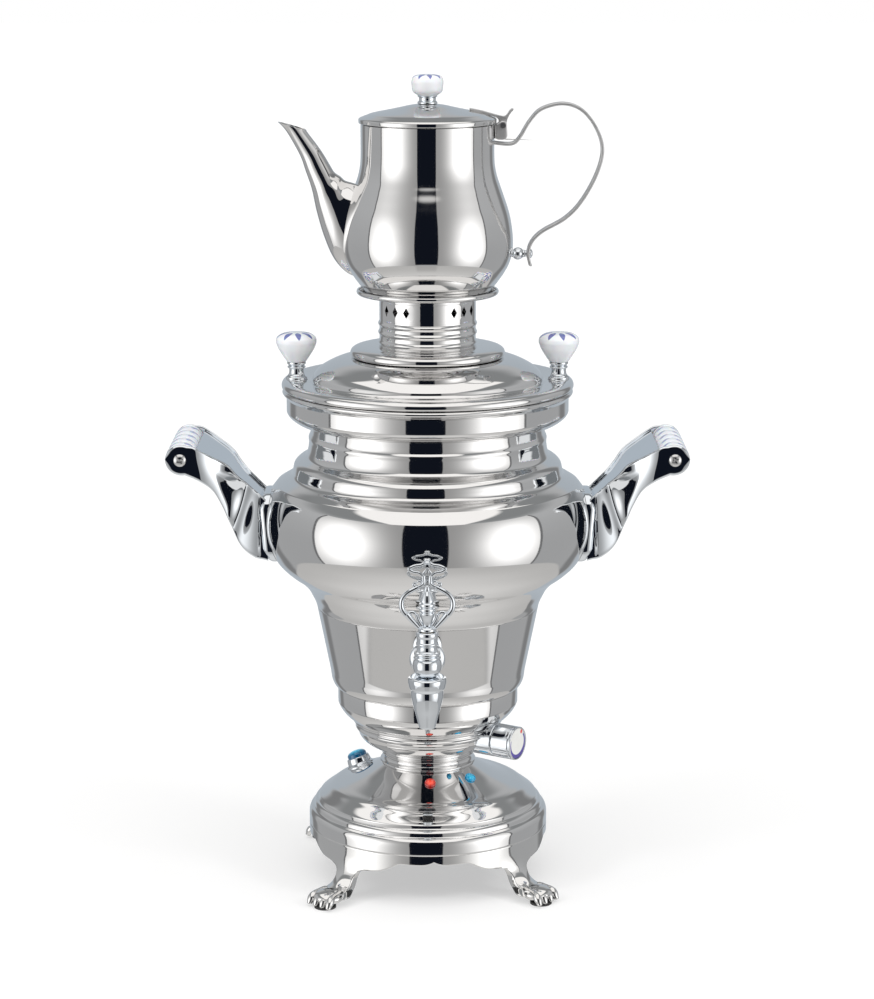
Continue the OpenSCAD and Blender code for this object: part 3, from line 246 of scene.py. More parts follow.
# %% Wrap a socket
class Wire:
    def __init__(self, tree, out):
        self.tree, self.out = tree, out

    def maths(self, operation, *others):
        return node(self.tree, "ShaderNodeMath", {"operation": operation},
                    dict(enumerate((self, *others))))

    def flipped(self, operation, other):
        return node(self.tree, "ShaderNodeMath", {"operation": operation}, {0: other, 1: self})

    def __add__(self, other): return self.maths("ADD", other)
    def __radd__(self, other): return self.flipped("ADD", other)
    def __sub__(self, other): return self.maths("SUBTRACT", other)
    def __rsub__(self, other): return self.flipped("SUBTRACT", other)
    def __mul__(self, other): return self.maths("MULTIPLY", other)
    def __rmul__(self, other): return self.flipped("MULTIPLY", other)
    def __truediv__(self, other): return self.maths("DIVIDE", other)
    def __rtruediv__(self, other): return self.flipped("DIVIDE", other)
    def __pow__(self, other): return self.maths("POWER", other)
    def __neg__(self): return self.maths("MULTIPLY", -1.0)
    def __abs__(self): return self.maths("ABSOLUTE")


def node(tree, kind, settings, sockets, out=0):
    """Adds a node: first its settings, then the values or links of its sockets."""
    made = tree.nodes.new(kind)
    for key, value in settings.items():
        if key == "stops":
            while len(made.color_ramp.elements) > 1:
                made.color_ramp.elements.remove(made.color_ramp.elements[-1])
            made.color_ramp.elements[0].position, made.color_ramp.elements[0].color = value[0]
            for place, colour in value[1:]:
                made.color_ramp.elements.new(place).color = colour
        else:
            setattr(made, key, value)
    for key, value in sockets.items():
        if isinstance(value, Wire):
            tree.links.new(value.out, made.inputs[key])
        else:
            made.inputs[key].default_value = value
    return Wire(tree, made.outputs[out])


print("sums ready")

# %% Steps, colours and clouds
def rise(value, at, soft):
    """0 below a place and 1 above it, with a soft change between."""
    return node(value.tree, "ShaderNodeMapRange", {"interpolation_type": "SMOOTHSTEP"},
                {0: value, 1: at - soft / 2, 2: at + soft / 2, 3: 0.0, 4: 1.0})


def between(value, low, high, soft):
    return rise(value, low, soft) * (1 - rise(value, high, soft))


def tinted(share, a, b):
    """Colour a where share is 0 and colour b where it is 1."""
    return node(share.tree, "ShaderNodeMix", {"data_type": "RGBA"},
                {0: share, 6: a if isinstance(a, Wire) else (*a, 1),
                 7: b if isinstance(b, Wire) else (*b, 1)}, 2)


def cloud(where, size, detail=3.0, rough=0.5):
    """Soft noise from 0 to 1, whose clouds are about size across."""
    return node(where.tree, "ShaderNodeTexNoise", {},
                {"Vector": where, "Scale": 1 / size, "Detail": detail,
                                                      "Roughness": rough})


def vector(x, y, z):
    tree = next(v.tree for v in (x, y, z) if isinstance(v, Wire))
    return node(tree, "ShaderNodeCombineXYZ", {}, {0: x, 1: y, 2: z})


def parts(where):
    """The three numbers of a vector."""
    made = node(where.tree, "ShaderNodeSeparateXYZ", {}, {0: where}).out.node
    return [Wire(where.tree, made.outputs[k]) for k in range(3)]


def bumped(height, strength, depth):
    return node(height.tree, "ShaderNodeBump", {},
                {"Strength": strength, "Distance": depth, "Height": height})


def polar(x, y):
    """Angle and radius round an axis."""
    return node(x.tree, "ShaderNodeMath", {"operation": "ARCTAN2"},
                {0: y, 1: x}), (x * x + y * y) ** 0.5


def scaled(vector, size):
    tree = size.tree if isinstance(size, Wire) else vector.tree
    return node(tree, "ShaderNodeVectorMath", {"operation": "SCALE"}, {0: vector, "Scale": size})


print("clouds ready")

# %% [markdown]
# ## Starting a finish
# Every finish is one Principled shader. The pieces of this lesson carry their drawn millimetres
# in a point attribute, and the nodes kept from the frame use their object coordinates times a
# thousand, so one recipe serves both.

# %% Start a finish
def start(name, slot, kept=False, **values):
    material = bpy.data.materials.new(name)
    material.use_nodes = True
    tree = material.node_tree
    shader = next(n for n in tree.nodes if n.type == "BSDF_PRINCIPLED")
    for key, value in values.items():
        shader.inputs[key.replace("_", " ")].default_value = value
    if kept:
        place = node(tree, "ShaderNodeTexCoord", {}, {}, "Object")
        where = scaled(place, 1000.0)
    else:
        where = node(tree, "ShaderNodeAttribute", {"attribute_name": "drawn"}, {}, "Vector")
    finishes[name] = (slot, material)

    def feed(socket, value):
        tree.links.new(value.out, shader.inputs[socket])

    return tree, where, feed


print("finish sockets ready")

# %% [markdown]
# ## Polished steel
# The shells are spun over a form and buffed to a mirror. What gives them away as metal and not
# glass is small: hair lines that run round the axis, a slow waviness left by the form, and a
# faint haze of wiped polish. The lines and the waves are bump, and the haze is roughness. All of
# them stay weak, or the mirror would break up.

# %% Mirror steel, spun or plain
def mirror(name, slot, colour, spun=True, kept=False, haze=0.045, wave=0.010):
    tree, where, feed = start(name, slot, kept, Metallic=1.0)
    x, y, z = parts(where)
    radius = polar(x, y)[1]
    lines = vector(radius, z, x * 0.004) if spun else vector(x * 0.03, y * 0.03, z * 0.03)
    hair = cloud(lines, 0.35, 2.0)
    broad = cloud(where, 26.0, 1.0)
    wiped = cloud(where, 9.0, 4.0, 0.6)
    tone = tuple(c * 0.965 for c in colour)
    feed("Base Color", tinted(wiped * 0.55 + hair * 0.35, tone, colour))
    feed("Roughness", haze * 0.55 + wiped * haze * 0.7 + hair * haze * 0.25)
    height = broad * (wave / 0.02) + hair * (0.012 if spun else 0.004)
    feed("Normal", bumped(height, 1.0, 0.00002))


plain_steel, cool_chrome = (0.80, 0.795, 0.790), (0.790, 0.825, 0.860)
mirror("spun steel", "steel", plain_steel)
mirror("steel strip", "steel", plain_steel, spun=False)
mirror("satin steel", "steel", (0.74, 0.74, 0.74), spun=False, haze=0.48, wave=0.02)
mirror("chrome", "chrome", cool_chrome, spun=False, haze=0.03, wave=0.012)
mirror("turned chrome", "chrome", cool_chrome, haze=0.03, wave=0.008)
mirror("cast chrome", "cast_chrome", (0.80, 0.795, 0.785), spun=False, haze=0.055, wave=0.03)
print(len(finishes), "mirror finishes")

# %% [markdown]
# ## Porcelain with blue strokes
# The knobs and grips are glazed porcelain with small brush marks in cobalt. Paint under a glaze
# has soft edges and a denser middle. The strokes are drawn from the angle round the knob's own
# axis, which follows the piece wherever it goes, so no picture is needed.

# %% Cobalt petals round a knob
glazed = {"Roughness": 0.10, "Coat_Weight": 0.6, "Coat_Roughness": 0.03, "Subsurface_Weight": 0.15,
          "Subsurface_Scale": 0.002}


def petals(name, low, high, reach, floor, count=8):
    tree, where, feed = start(name, "porcelain", **glazed)
    x, y, z = parts(where)
    angle, radius = polar(x, y)
    turns = (angle / (2 * pi) * count + 0.25).maths("FRACT") - 0.5
    across = abs(turns) * radius * (2 * pi / count)
    along = (radius - low) / (high - low)
    width = reach * (along.maths("MAXIMUM", 0.0).maths("MINIMUM", 1.0) * pi).maths("SINE") ** 0.6
    stroke = (1 - rise(across - width, 0.0, 0.5)) * between(radius, low, high, 0.6)
    stroke = stroke * rise(z, floor, 0.5)
    load = cloud(where, 1.6, 3.0)
    glaze = tinted(cloud(where, 6.0, 2.0), (0.85, 0.88, 0.92), (0.90, 0.92, 0.95))
    cobalt = tinted(load, (0.012, 0.02, 0.22), (0.06, 0.10, 0.46))
    feed("Base Color", tinted(stroke * (0.75 + load * 0.25), glaze, cobalt))
    feed("Normal", bumped(cloud(where, 5.0, 2.0), 1.0, 0.00002))


petals("lid knob porcelain", 4.2, 12.7, 1.9, 13.2)
petals("pot knob porcelain", 3.4, 9.6, 1.7, 9.0)
print("petal finishes done")

# %% Brush strokes along a grip
rib_length = 13.6


def strokes():
    tree, where, feed = start("grip porcelain", "porcelain", **glazed)
    x, y, z = parts(where)
    angle = polar(x, y)[0] / (2 * pi) * 6 + 0.5
    row = z / rib_length + 0.5
    wave = (angle * 2 * pi).maths("SINE") * 0.10
    near = abs((row + wave).maths("FRACT") - 0.5) * rib_length
    side = abs(angle.maths("FRACT") - 0.5) * 9
    leaf = 1 - rise((near * near / 2.8 + side * side / 7.0) ** 0.5, 1.0, 0.35)
    load = cloud(where, 1.4, 3.0)
    mark = leaf * (0.7 + load * 0.3)
    glaze = tinted(cloud(where, 6.0, 2.0), (0.80, 0.83, 0.88), (0.87, 0.89, 0.93))
    feed("Base Color", tinted(mark, glaze, tinted(load, (0.02, 0.035, 0.28), (0.10, 0.15, 0.5))))
    feed("Normal", bumped(cloud(where, 5.0, 2.0), 1.0, 0.00002))


strokes()
print("grip finish done")

# %% [markdown]
# ## Lenses, dial and plain metals
# The button and the lamps are clear coloured mouldings with a light behind them. They glow a
# little at the middle, so the emission falls off from the axis. The dial is a printed disc: a
# crescent that swells round the bottom and ends in a red drop.

# %% Glowing lenses
def lens(name, slot, rim, middle, reach, glow):
    tree, where, feed = start(name, slot, Roughness=0.08, Coat_Weight=1.0, Coat_Roughness=0.02,
                              Emission_Strength=glow)
    x, y, z = parts(where)
    radius = polar(x, y)[1] / reach
    heart = 1 - rise(radius, 0.72, 0.75)
    mist = cloud(where, 2.0, 2.0)
    tone = tinted(heart * (0.85 + mist * 0.15), rim, middle)
    feed("Base Color", tone)
    feed("Emission Color", tone)
    ribs = (radius * 26).maths("SINE")
    feed("Normal", bumped(ribs, 0.3, 0.00005))


lens("button lens", "blue_lens", (0.002, 0.05, 0.13), (0.01, 0.52, 0.80), 6.5, 0.45)
lens("blue lamp lens", "blue_lens", (0.01, 0.28, 0.52), (0.03, 0.52, 0.80), 3.5, 0.30)
lens("red lamp lens", "red_lens", (0.28, 0.01, 0.01), (0.85, 0.08, 0.04), 3.5, 0.35)
print("lens finishes done")

# %% The printed dial
def dial_print():
    tree, where, feed = start("dial print", "dial_white", Roughness=0.25, Coat_Weight=0.5,
                              Coat_Roughness=0.05)
    x, y, z = parts(where)
    up, right = -x, y
    angle, radius = polar(x, y)
    clock = angle / pi
    grow = 0.35 + 1.25 * rise(clock, -0.25, 0.9)
    thick = grow * (1 - 0.55 * rise(clock, 0.35, 0.5))
    arc = (1 - rise(abs(radius - 8.6) - thick, 0.0, 0.25)) * between(clock, -0.62, 0.70, 0.05)
    far_x, far_y = right - 4.6, up - 7.0
    drop = 1 - rise((far_x * far_x + far_y * far_y) ** 0.5, 1.35, 0.3)
    face = tinted(cloud(where, 5.0, 3.0), (0.80, 0.80, 0.77), (0.86, 0.86, 0.83))
    inked = tinted(arc, face, (0.085, 0.06, 0.33))
    feed("Base Color", tinted(drop, inked, (0.72, 0.09, 0.08)))
    feed("Normal", bumped(cloud(where, 0.8, 2.0), 0.4, 0.00002))


dial_print()
print("dial finish done")

# %% Plain metals, plastics and rubber
def plain(name, slot, dark, light, rough, metal=0.0, grain=1.2, kept=True, depth=0.00004, **more):
    tree, where, feed = start(name, slot, kept, Metallic=metal, **more)
    fine, worn = cloud(where, grain, 4.0, 0.6), cloud(where, grain * 9, 3.0)
    feed("Base Color", tinted(fine * 0.4 + worn * 0.6, dark, light))
    feed("Roughness", rough * (0.8 + 0.25 * worn + 0.25 * fine))
    feed("Normal", bumped(fine, 0.6, depth))


plain("zinc steel", "plain_steel", (0.50, 0.50, 0.49), (0.66, 0.66, 0.67), 0.30, 1.0)
plain("heater tube", "heater", (0.30, 0.29, 0.27), (0.50, 0.48, 0.45), 0.42, 1.0)
plain("turned brass", "brass", (0.58, 0.44, 0.20), (0.72, 0.56, 0.28), 0.24, 1.0)
plain("moulded rubber", "rubber", (0.018, 0.018, 0.018), (0.045, 0.045, 0.045), 0.62, grain=0.7)
plain("stoved black", "black_paint", (0.014, 0.014, 0.016), (0.030, 0.030, 0.032), 0.45, grain=0.9)
plain("black moulding", "black_plastic", (0.016, 0.016, 0.018), (0.034, 0.034, 0.036), 0.38, grain=0.8)
plain("lead sleeve", "lead_sleeve", (0.32, 0.05, 0.035), (0.46, 0.08, 0.05), 0.50, grain=1.0)
plain("screw steel", "plain_steel", (0.60, 0.60, 0.60), (0.74, 0.74, 0.74), 0.16, 1.0, kept=False)
print(len(finishes), "finishes")

# %% Give the kept nodes their finishes
mirror("kept steel", "steel", plain_steel, kept=True)
kept_nodes = {
    "kept steel": ["lid_skirt"],
    "zinc steel": ["tie_rod", "base_plate_screws", "tap_nut", "thermostat_shaft", "handle_bolts",
                   "lid_knob_screws", "teapot_hinge_pin"],
    "heater tube": ["heating_element"],
    "turned brass": ["element_glands", "inlet_pins", "thermostat_bush", "tap_plug"],
    "moulded rubber": ["foot_pads", "gaskets"],
    "stoved black": ["base_plate"],
    "black moulding": ["thermal_cutout", "power_inlet", "thermostat_body", "switch_body"],
    "lead sleeve": ["wiring"],
}
for finish, names in kept_nodes.items():
    for name in names:
        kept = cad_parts[name]
        kept.data.materials.clear()
        kept.data.materials.append(finishes[finish][1])
print("kept nodes finished:", sum(len(v) for v in kept_nodes.values()))

# %% [markdown]
# ## The base
# The base is a casting: a plain ring whose lower edge sweeps in a shallow arch from claw foot to
# claw foot. Sculpting could make it, and so could a cage under a Subdivision Surface. It is laid
# out here as one grid instead, because the ring, the fillets and the legs then share their points
# and mirror the room without a seam.

# %% Measurements of the feet
base_r, base_inner_r, base_top, leg_angle = 78.3, 74.3, 36.0, 48.0
leg_half, leg_top, leg_foot, ankle = 14.5, 22.0, 5.0, 17.0
half_sector = base_r * pi / 4
ring_edge = smooth([(14.5, 22), (19.7, 22.6), (25.8, 23.5), (32, 26), (36.5, 28.4), (40, 29.6),
                    (46.7, 29.3), (54.1, 29.2), (58.5, 30), (half_sector, 31.4)])
leg_width = smooth([(5, 10.2), (6, 10), (9, 8.2), (12.5, 7.4), (15, 7.3), (18, 8.2), (20.6, 10.6),
                    (22, 14.5)])
leg_front = smooth([(5, 102.5), (7.6, 101), (9.6, 97), (10.8, 91.5), (13, 86.5), (17, 82), (22, 79.5),
                    (27, 78.5), (31, 78.3), (36, 78.3)])
leg_back = smooth([(5, 90), (9.5, 80.3), (15, 75.4), (22, 73.2), (31, 74.3), (36, 74.3)])


def at(line, where):
    """The second number of a line at a value of its first."""
    for a, b in zip(line, line[1:]):
        if a[0] <= where <= b[0]:
            return a[1] + (b[1] - a[1]) * (where - a[0]) / max(b[0] - a[0], 1e-9)
    return line[0][1] if where < line[0][0] else line[-1][1]


print("leg is", round(2 * at(leg_width, 14), 1), "mm wide at its ankle")

# %% Ring and legs in one grid
def foot_shell():
    points, faces = [], []
    ribs = [s / 14 for s in range(-14, 15)]
    beyond = [leg_half + (half_sector - leg_half) * k / 30 for k in range(1, 31)]
    columns = [-x for x in reversed(beyond)] + [leg_half * s for s in ribs] + beyond
    upper = [k / 10 for k in range(11)]
    lower = [leg_top - (leg_top - leg_foot) * (k / 26) for k in range(1, 27)]

    def spot(sector, x, z, inside):
        share = min(abs(x) / leg_half, 1.0)
        across = x * (at(leg_width, z) / leg_half if z < leg_top else 1.0)
        flat = 0.45 + 0.55 * min(max((z - ankle) / (leg_top - ankle), 0.0), 1.0)
        if inside:
            hollow = 1 - flat * share * 0.4 if z < leg_top else 1 - share
            r = base_inner_r + (at(leg_back, z) - base_inner_r) * hollow
        else:
            r = base_r + (at(leg_front, z) - base_r) * (1 - flat * share**1.6)
        round_r = base_r if z >= 20 else max(base_r, 0.5 * (r + base_r))
        angle = radians(leg_angle + 90 * sector) + across / round_r
        return r * cos(angle), r * sin(angle), z

    for sector in range(4):
        for inside in (False, True):
            grid = []
            for x in columns:
                low = leg_top if abs(x) <= leg_half else at(ring_edge, abs(x))
                rows = [(x, base_top - (base_top - low) * k) for k in upper]
                if abs(x) <= leg_half:
                    rows += [(x, z) for z in lower]
                grid.append([len(points) + k for k in range(len(rows))])
                points += [spot(sector, px, pz, inside) for px, pz in rows]
            for a, b in zip(grid, grid[1:]):
                faces += [(a[k], b[k], b[k + 1], a[k + 1]) for k in range(min(len(a), len(b)) - 1)]
            if inside:
                for a, b, c, d in zip(outer, outer[1:], grid, grid[1:]):
                    faces += [(a[0], b[0], d[0], c[0])]
                    if len(a) == len(b) == len(upper) or len(a) != len(b):
                        faces += [(a[len(upper) - 1], b[len(upper) - 1], d[len(upper) - 1],
                                   c[len(upper) - 1])]
                    if len(a) == len(b) > len(upper):
                        faces += [(a[-1], b[-1], d[-1], c[-1])]
                for a, c in ((outer[30], grid[30]), (outer[-31], grid[-31])):
                    faces += [(a[k], a[k + 1], c[k + 1], c[k])
                              for k in range(len(upper) - 1, len(a) - 1)]
            outer = grid
    return points, faces


print("foot shell faces", len(foot_shell()[1]))

# %% Toes and heels of the claw feet
def claw():
    toes = []
    for place in (-1.5, -0.5, 0.5, 1.5):
        fan, y = place * 5.5, place * 4.9
        path = [turn(fan) @ Vector((x, 0, z)) + Vector((0, y, 0)) for x, z in
                smooth([(-13, 5.6), (-7, 8.1), (-2, 8.5), (1.8, 7.6), (4.4, 5.2), (5.6, 3.0),
                        (5.9, 1.8)], 5)]
        size = [sqrt(max(0.05, min(1, (k + 0.6) / 5, (len(path) - k - 0.2) / 3)))
                * (2.25 + 0.4 * sin(k * 0.42))
                for k in range(len(path))]
        toes.append(swept(path, disc(1, 20), grow=size))
    heel = turned([(5.2 * sin(a), -5.2 * cos(a)) for a in (pi * k / 20 for k in range(21))], 36,
                  closed=False)
    heel = moved(heel, shift(-3, 0, 6.4) @ Matrix.Diagonal((1.85, 1.95, 0.92, 1)))
    spur = [Vector(p) for p in smooth([(-9, 0, 9.5), (-13, 0, 7.2), (-15.5, 0, 3.6), (-16, 0, 1.8)], 4)]
    spur = swept(spur, disc(1, 16), grow=[2.4 - 0.9 * k / (len(spur) - 1) for k in range(len(spur))])
    return together(*toes, heel, spur)


paw_r = 98.0
feet = [moved(claw(), turn(leg_angle + 90 * k) @ shift(paw_r)) for k in range(4)]
piece("claw_base", together(foot_shell(), *feet), "cast chrome", "stand", ["foot_ring"], crease=50,
      bevel=0.7)
print("base width", round(pieces["claw_base"].dimensions.x * 1000, 1))

# %% [markdown]
# ## The spun shells
# From the stepped dome over the feet up to the lid, each shell is sheet metal spun to an outline.
# Each line is drawn on its outer side from the bottom up, and the gauge goes inward. Separate
# shells keep the fine dark seams that show where one sits on the next.

# %% Dome over the feet
dome_line = smooth([(78.3, 36.2), (78.3, 42), (77.9, 44.2), (77, 45.8), (75.9, 46.6), (75.2, 47.2),
                    (75, 48), (74.6, 49.6), (73.6, 50.8), (72.6, 51.3), (72.2, 51.9), (71.6, 53.2),
                    (71, 54.3), (66, 58), (61, 61.5), (54, 63.4), (46, 66.8), (38, 71.2), (30, 76)])
piece("stepped_dome", turned(sheet(dome_line, 0.8), 240), "spun steel", "stand", ["base_dome"])
print("dome points", len(dome_line))

# %% Ringed neck and lower bowl
neck_line = smooth([(28.4, 75.2), (30, 76), (31.2, 76.6), (31.2, 77.6), (30, 78.2), (28.9, 79.2),
                    (28.6, 80.6), (29.2, 81.4), (30.2, 82.3), (29.4, 83.1), (29.4, 83.6), (30.2, 84.4),
                    (30.2, 85.4), (29.4, 86.1), (30, 86.5)], 4)
piece("ringed_neck", turned(sheet(neck_line, 1.0), 144), "spun steel", "stand", ["pedestal_neck"])
bowl_line = smooth([(26, 86.6), (30, 86.9), (36, 88.2), (41, 90.9), (44.5, 94.5), (46.2, 98.5),
                    (47.6, 100.4), (46.9, 102.2), (48.9, 104.3), (49.4, 106), (51.3, 107.5),
                    (54.8, 110.8), (57.5, 114.5),
                    (58.8, 117.6)]) + [Vector((58.4, 118)), Vector((58.8, 118.4)),
                                       Vector((58.8, 127.8))]
bowl = turned(sheet(bowl_line, 0.8))
near_inlet = {i for i, (x, y, z) in enumerate(bowl[0])
              if abs(x) < 12.6 and y > 0 and abs(z - 102.5) < 9.4}
bowl = bowl[0], [f for f in bowl[1] if not near_inlet.issuperset(f)]
piece("lower_bowl_shell", bowl, "spun steel", "stand", ["lower_bowl"])
print("opening left behind the inlet")

# %% Tank cup with its floor
cup_line = smooth([(58.2, 128.15), (59.4, 128.7), (61.3, 130.3), (62.8, 134), (63.5, 139)]) + [
    Vector((63.5 + 8.5 * k / 12, 139 + 42.8 * k / 12)) for k in range(1, 13)]
cup_wall = beside(cup_line, 1)
cup_outline = ([Vector((0, 120)), Vector((57.6, 120)), Vector((57.6, 128.1))] + cup_line
               + [Vector((71.5, 182.3))] + cup_wall[::-1] + [Vector((56.6, 128)), Vector((56.6, 122)),
                       Vector((0, 122))])
piece("tank_cup", turned(cup_outline), "spun steel", "stand", ["tank"])
print("cup height", round(cup_line[-1].y - cup_line[0].y, 1))

# %% Belly, shoulder and mouth of the tank
belly_line = smooth([(71.2, 181.9), (72, 182.3), (73.1, 185.7), (74.9, 189.5), (78.3, 195.5),
                     (83.5, 201), (91, 206.5), (97.6, 213), (101.8, 221), (104.4, 229), (105.3, 238),
                     (104.6, 247.5), (102, 257),
                     (97.5, 263.5)], 8)[:-1] + smooth([(97.5, 263.5), (93, 266.2), (89.2, 268),
                                                       (87.4, 269.8), (86.7, 273), (85.8, 276.4),
                                                       (83.6, 278.8), (80.8, 280.5), (78.4, 282.2),
                                                       (77, 285.6), (76.4, 290.5), (76.6, 293.6),
                                                       (75.6, 296), (75.3, 298.5), (75.3, 302.8)])
piece("tank_belly_shell", turned(sheet(belly_line, 1.0), 216), "spun steel", "stand",
      ["tank_belly", "tank_mouth"])
print("belly radius", round(max(p.x for p in belly_line), 1))

# %% Collar and the lid's shells
collar_line = smooth([(74.4, 303), (79, 303.2), (84, 304.5), (88.5, 307.5), (90.3, 310),
                      (90.5, 311.5)])[:-1] + smooth(
    [(90.5, 311.5), (90.5, 315), (90.5, 319.5)])[:-1] + smooth([(90.5, 319.5), (91.5, 320.8),
            (93.1, 322.8), (92.6, 324.4), (91.5, 325)])
piece("collar_shell", turned(sheet(collar_line, 0.8), 216), "spun steel", "stand", ["collar"])
lid_line = smooth([(91.4, 325.3), (92.7, 325.5), (93.5, 326.6), (93.5, 328.2), (92.7, 329.7),
                   (91, 330.6), (88.5, 330.9), (83, 330.6),
                   (75.6, 330.1)])[:-1] + smooth([(75.6, 330.1), (74, 331.3), (72.6, 334.5), (69, 338),
                                                  (61, 342.3), (53, 344.8), (47, 345.3), (39, 345.3)])
piece("lid_shell", turned(sheet(lid_line, 0.8), 216), "spun steel", "lid", ["lid_dome"])
tier_line = smooth([(46.6, 345.35), (48.4, 345.8), (49.3, 347.1), (49.4, 348.6), (48.6, 350.2),
                    (46.4, 351.5), (42, 352.3), (36, 352.7), (31, 353), (29.8, 353.4), (29.5, 355),
                    (29.5, 358)])
piece("lid_tier_shell", turned(sheet(tier_line, 0.8)), "spun steel", "lid", ["lid_tier"])
print("lid radius", round(max(p.x for p in lid_line), 1))

# %% [markdown]
# ## The crown with its diamond holes
# The teapot stands over the rising steam on a short pierced tube. Cutting the twelve diamonds with
# a Boolean leaves long thin faces that mirror badly. The sheet is therefore laid out as cells, each
# with its own hole, and wrapped round the tube.

# %% Pierced gallery
def pierced(r, gauge, low, high, turn_by):
    steps, cells, angle = 8, [], 0.0
    for group in range(4):
        first = turn_by - 45 + 90 * group - 23.4
        cells += [(first + 15.6 * k, 15.6, True) for k in range(3)]
        cells += [(first + 46.8 + 7.2 * k, 7.2, False) for k in range(6)]
    points, faces, middle = [], [], (low + high) / 2

    def lay(a, z, reach):
        points.append((reach * cos(radians(a)), reach * sin(radians(a)), z))
        return len(points) - 1

    for start_at, wide, hole in cells:
        half, tall = wide / 2, (high - low) / 2
        rim = ([(half * k / steps, -tall) for k in range(steps)] + [(half, -tall + tall * k / steps)
                for k in range(steps)]
               + [(half, tall * k / steps) for k in range(steps)] + [(half - half * k / steps, tall)
                       for k in range(steps)])
        rim += [(-x, -z) for x, z in rim]
        spread = degrees(2.2 / r) if hole else 0.0
        corner = [(0, -3.5), (spread, 0), (0, 3.5), (-spread, 0), (0, -3.5)]
        inner = []
        for (x0, z0), (x1, z1) in zip(corner, corner[1:]):
            inner += [(x0 + (x1 - x0) * k / (2 * steps), z0 + (z1 - z0) * k / (2 * steps))
                      for k in range(2 * steps)]
        loops = []
        for reach in (r, r - gauge):
            loops.append([[lay(start_at + half + x, middle + z, reach) for x, z in loop]
                          for loop in (rim, inner)])
        n = len(rim)
        for edge, core in loops:
            faces += [(edge[k], edge[(k + 1) % n], core[(k + 1) % n], core[k]) for k in range(n)]
        if hole:
            faces += [(loops[0][1][k], loops[0][1][(k + 1) % n], loops[1][1][(k + 1) % n],
                       loops[1][1][k])
                      for k in range(n)]
    return points, faces


beads = [(31.2, 353.3)]
for z in (355.3, 361.3, 366.9):
    beads += [(30.8, z - 1.9), (31.25, z - 1.0), (31.6, z), (31.25, z + 1.0), (30.8, z + 1.9)]
tube_line = smooth(beads + [(30.8, 370.2), (30.8, 371.5)])
cap_line = [Vector((30.8, 381.5)), Vector((30.8, 382.6)), Vector((30.8, 384))]
gallery = together(turned(sheet(tube_line, 0.8), 150), pierced(30.8, 0.8, 371.5, 381.5, 3.5),
                   turned(sheet(cap_line, 0.8), 150))
piece("pierced_gallery", gallery, "spun steel", "crown", ["crown_gallery"], crease=40)
print("gallery faces", len(gallery[1]))

# %% Dish that carries the teapot
dish_line = smooth([(22, 384.05), (31, 384.05), (37, 384.4), (42, 384.8), (44.4, 385.5), (45.3, 386.8),
                    (45.0, 388.2), (44.4, 388.5)])
piece("crown_dish_shell", turned(sheet(dish_line, 1.0), 150), "spun steel", "crown", ["crown_dish"])
print("dish done")

# %% [markdown]
# ## The teapot
# The pot is spun like the tank, and its spout is a seamed tube whose section changes all the way.
# A curve with a taper can't change a section's shape, so the spout is lofted through measured
# sections, each an ellipse between a lower and an upper point.

# %% Pot body
pot_line = smooth([(34, 387.2), (37.6, 387.1), (38.6, 386.4), (40.3, 386.4), (41, 389), (43.5, 392),
                   (48.5, 399), (52, 405.5), (53.9, 413), (54.2, 421), (53.2, 430), (51.5, 438),
                   (48.9, 446), (46.1, 454), (43.8, 461), (42.5, 468), (42.2, 475),
                   (42.2, 480)], 8) + [Vector((42.2, 486)),
                           Vector((42.2, 492.8))]
pot_inner = beside(pot_line, 0.8)
pot_outline = [Vector((0, 387.2))] + pot_line + [Vector((41.8, 493.1)), Vector((41.4, 492.8))] + [
    p for p in pot_inner[::-1] if p.y > 388.6 and p.x > 36] + [Vector((36, 388.1)), Vector((0, 388.1))]
piece("teapot_shell", turned(pot_outline), "spun steel", "teapot", ["teapot_body"])
print("pot radius", round(max(p.x for p in pot_line), 1))

# %% Spout
sections = smooth([(-36, 394, -36, 450, 12.6), (-49.9, 398, -44.7, 455, 12.6),
                   (-59.3, 407.6, -51.8, 457.3, 12), (-65.6, 421.8, -55, 460, 11),
                   (-70.2, 437.7, -58.8, 462.7, 9.5), (-73.2, 452, -61.5, 467, 8),
                   (-77, 463.5, -65, 473, 7), (-80.6, 473.6, -69, 479, 6.2),
                   (-88.6, 487.9, -75.9, 488.2, 6), (-94.2, 494.2, -75.9, 489, 5.8)], 8)


def spout_ring(s, wall, sides=56):
    low, high = Vector((s[0], s[1])), Vector((s[2], s[3]))
    middle, along = (low + high) / 2, (high - low) / 2
    way, reach = along.normalized(), along.length - wall
    ring = []
    for k in range(sides):
        flat = middle + way * reach * cos(2 * pi * k / sides)
        ring.append((flat.x, (s[4] - wall) * sin(2 * pi * k / sides), flat.y))
    return ring


outside = [spout_ring(s, 0) for s in sections]
inside = [spout_ring(s, 0.8) for s in sections]
lip = [[tuple((Vector(a) + Vector(b)) / 2 + 0.3 * (Vector(a) - Vector(c)).normalized())
        for a, b, c in zip(outside[-1], inside[-1], outside[-3])]]
piece("spout_shell", skin(outside + lip + inside[::-1], loop=True), "steel strip", "teapot",
      ["teapot_spout"], crease=50)
print("spout sections", len(sections))

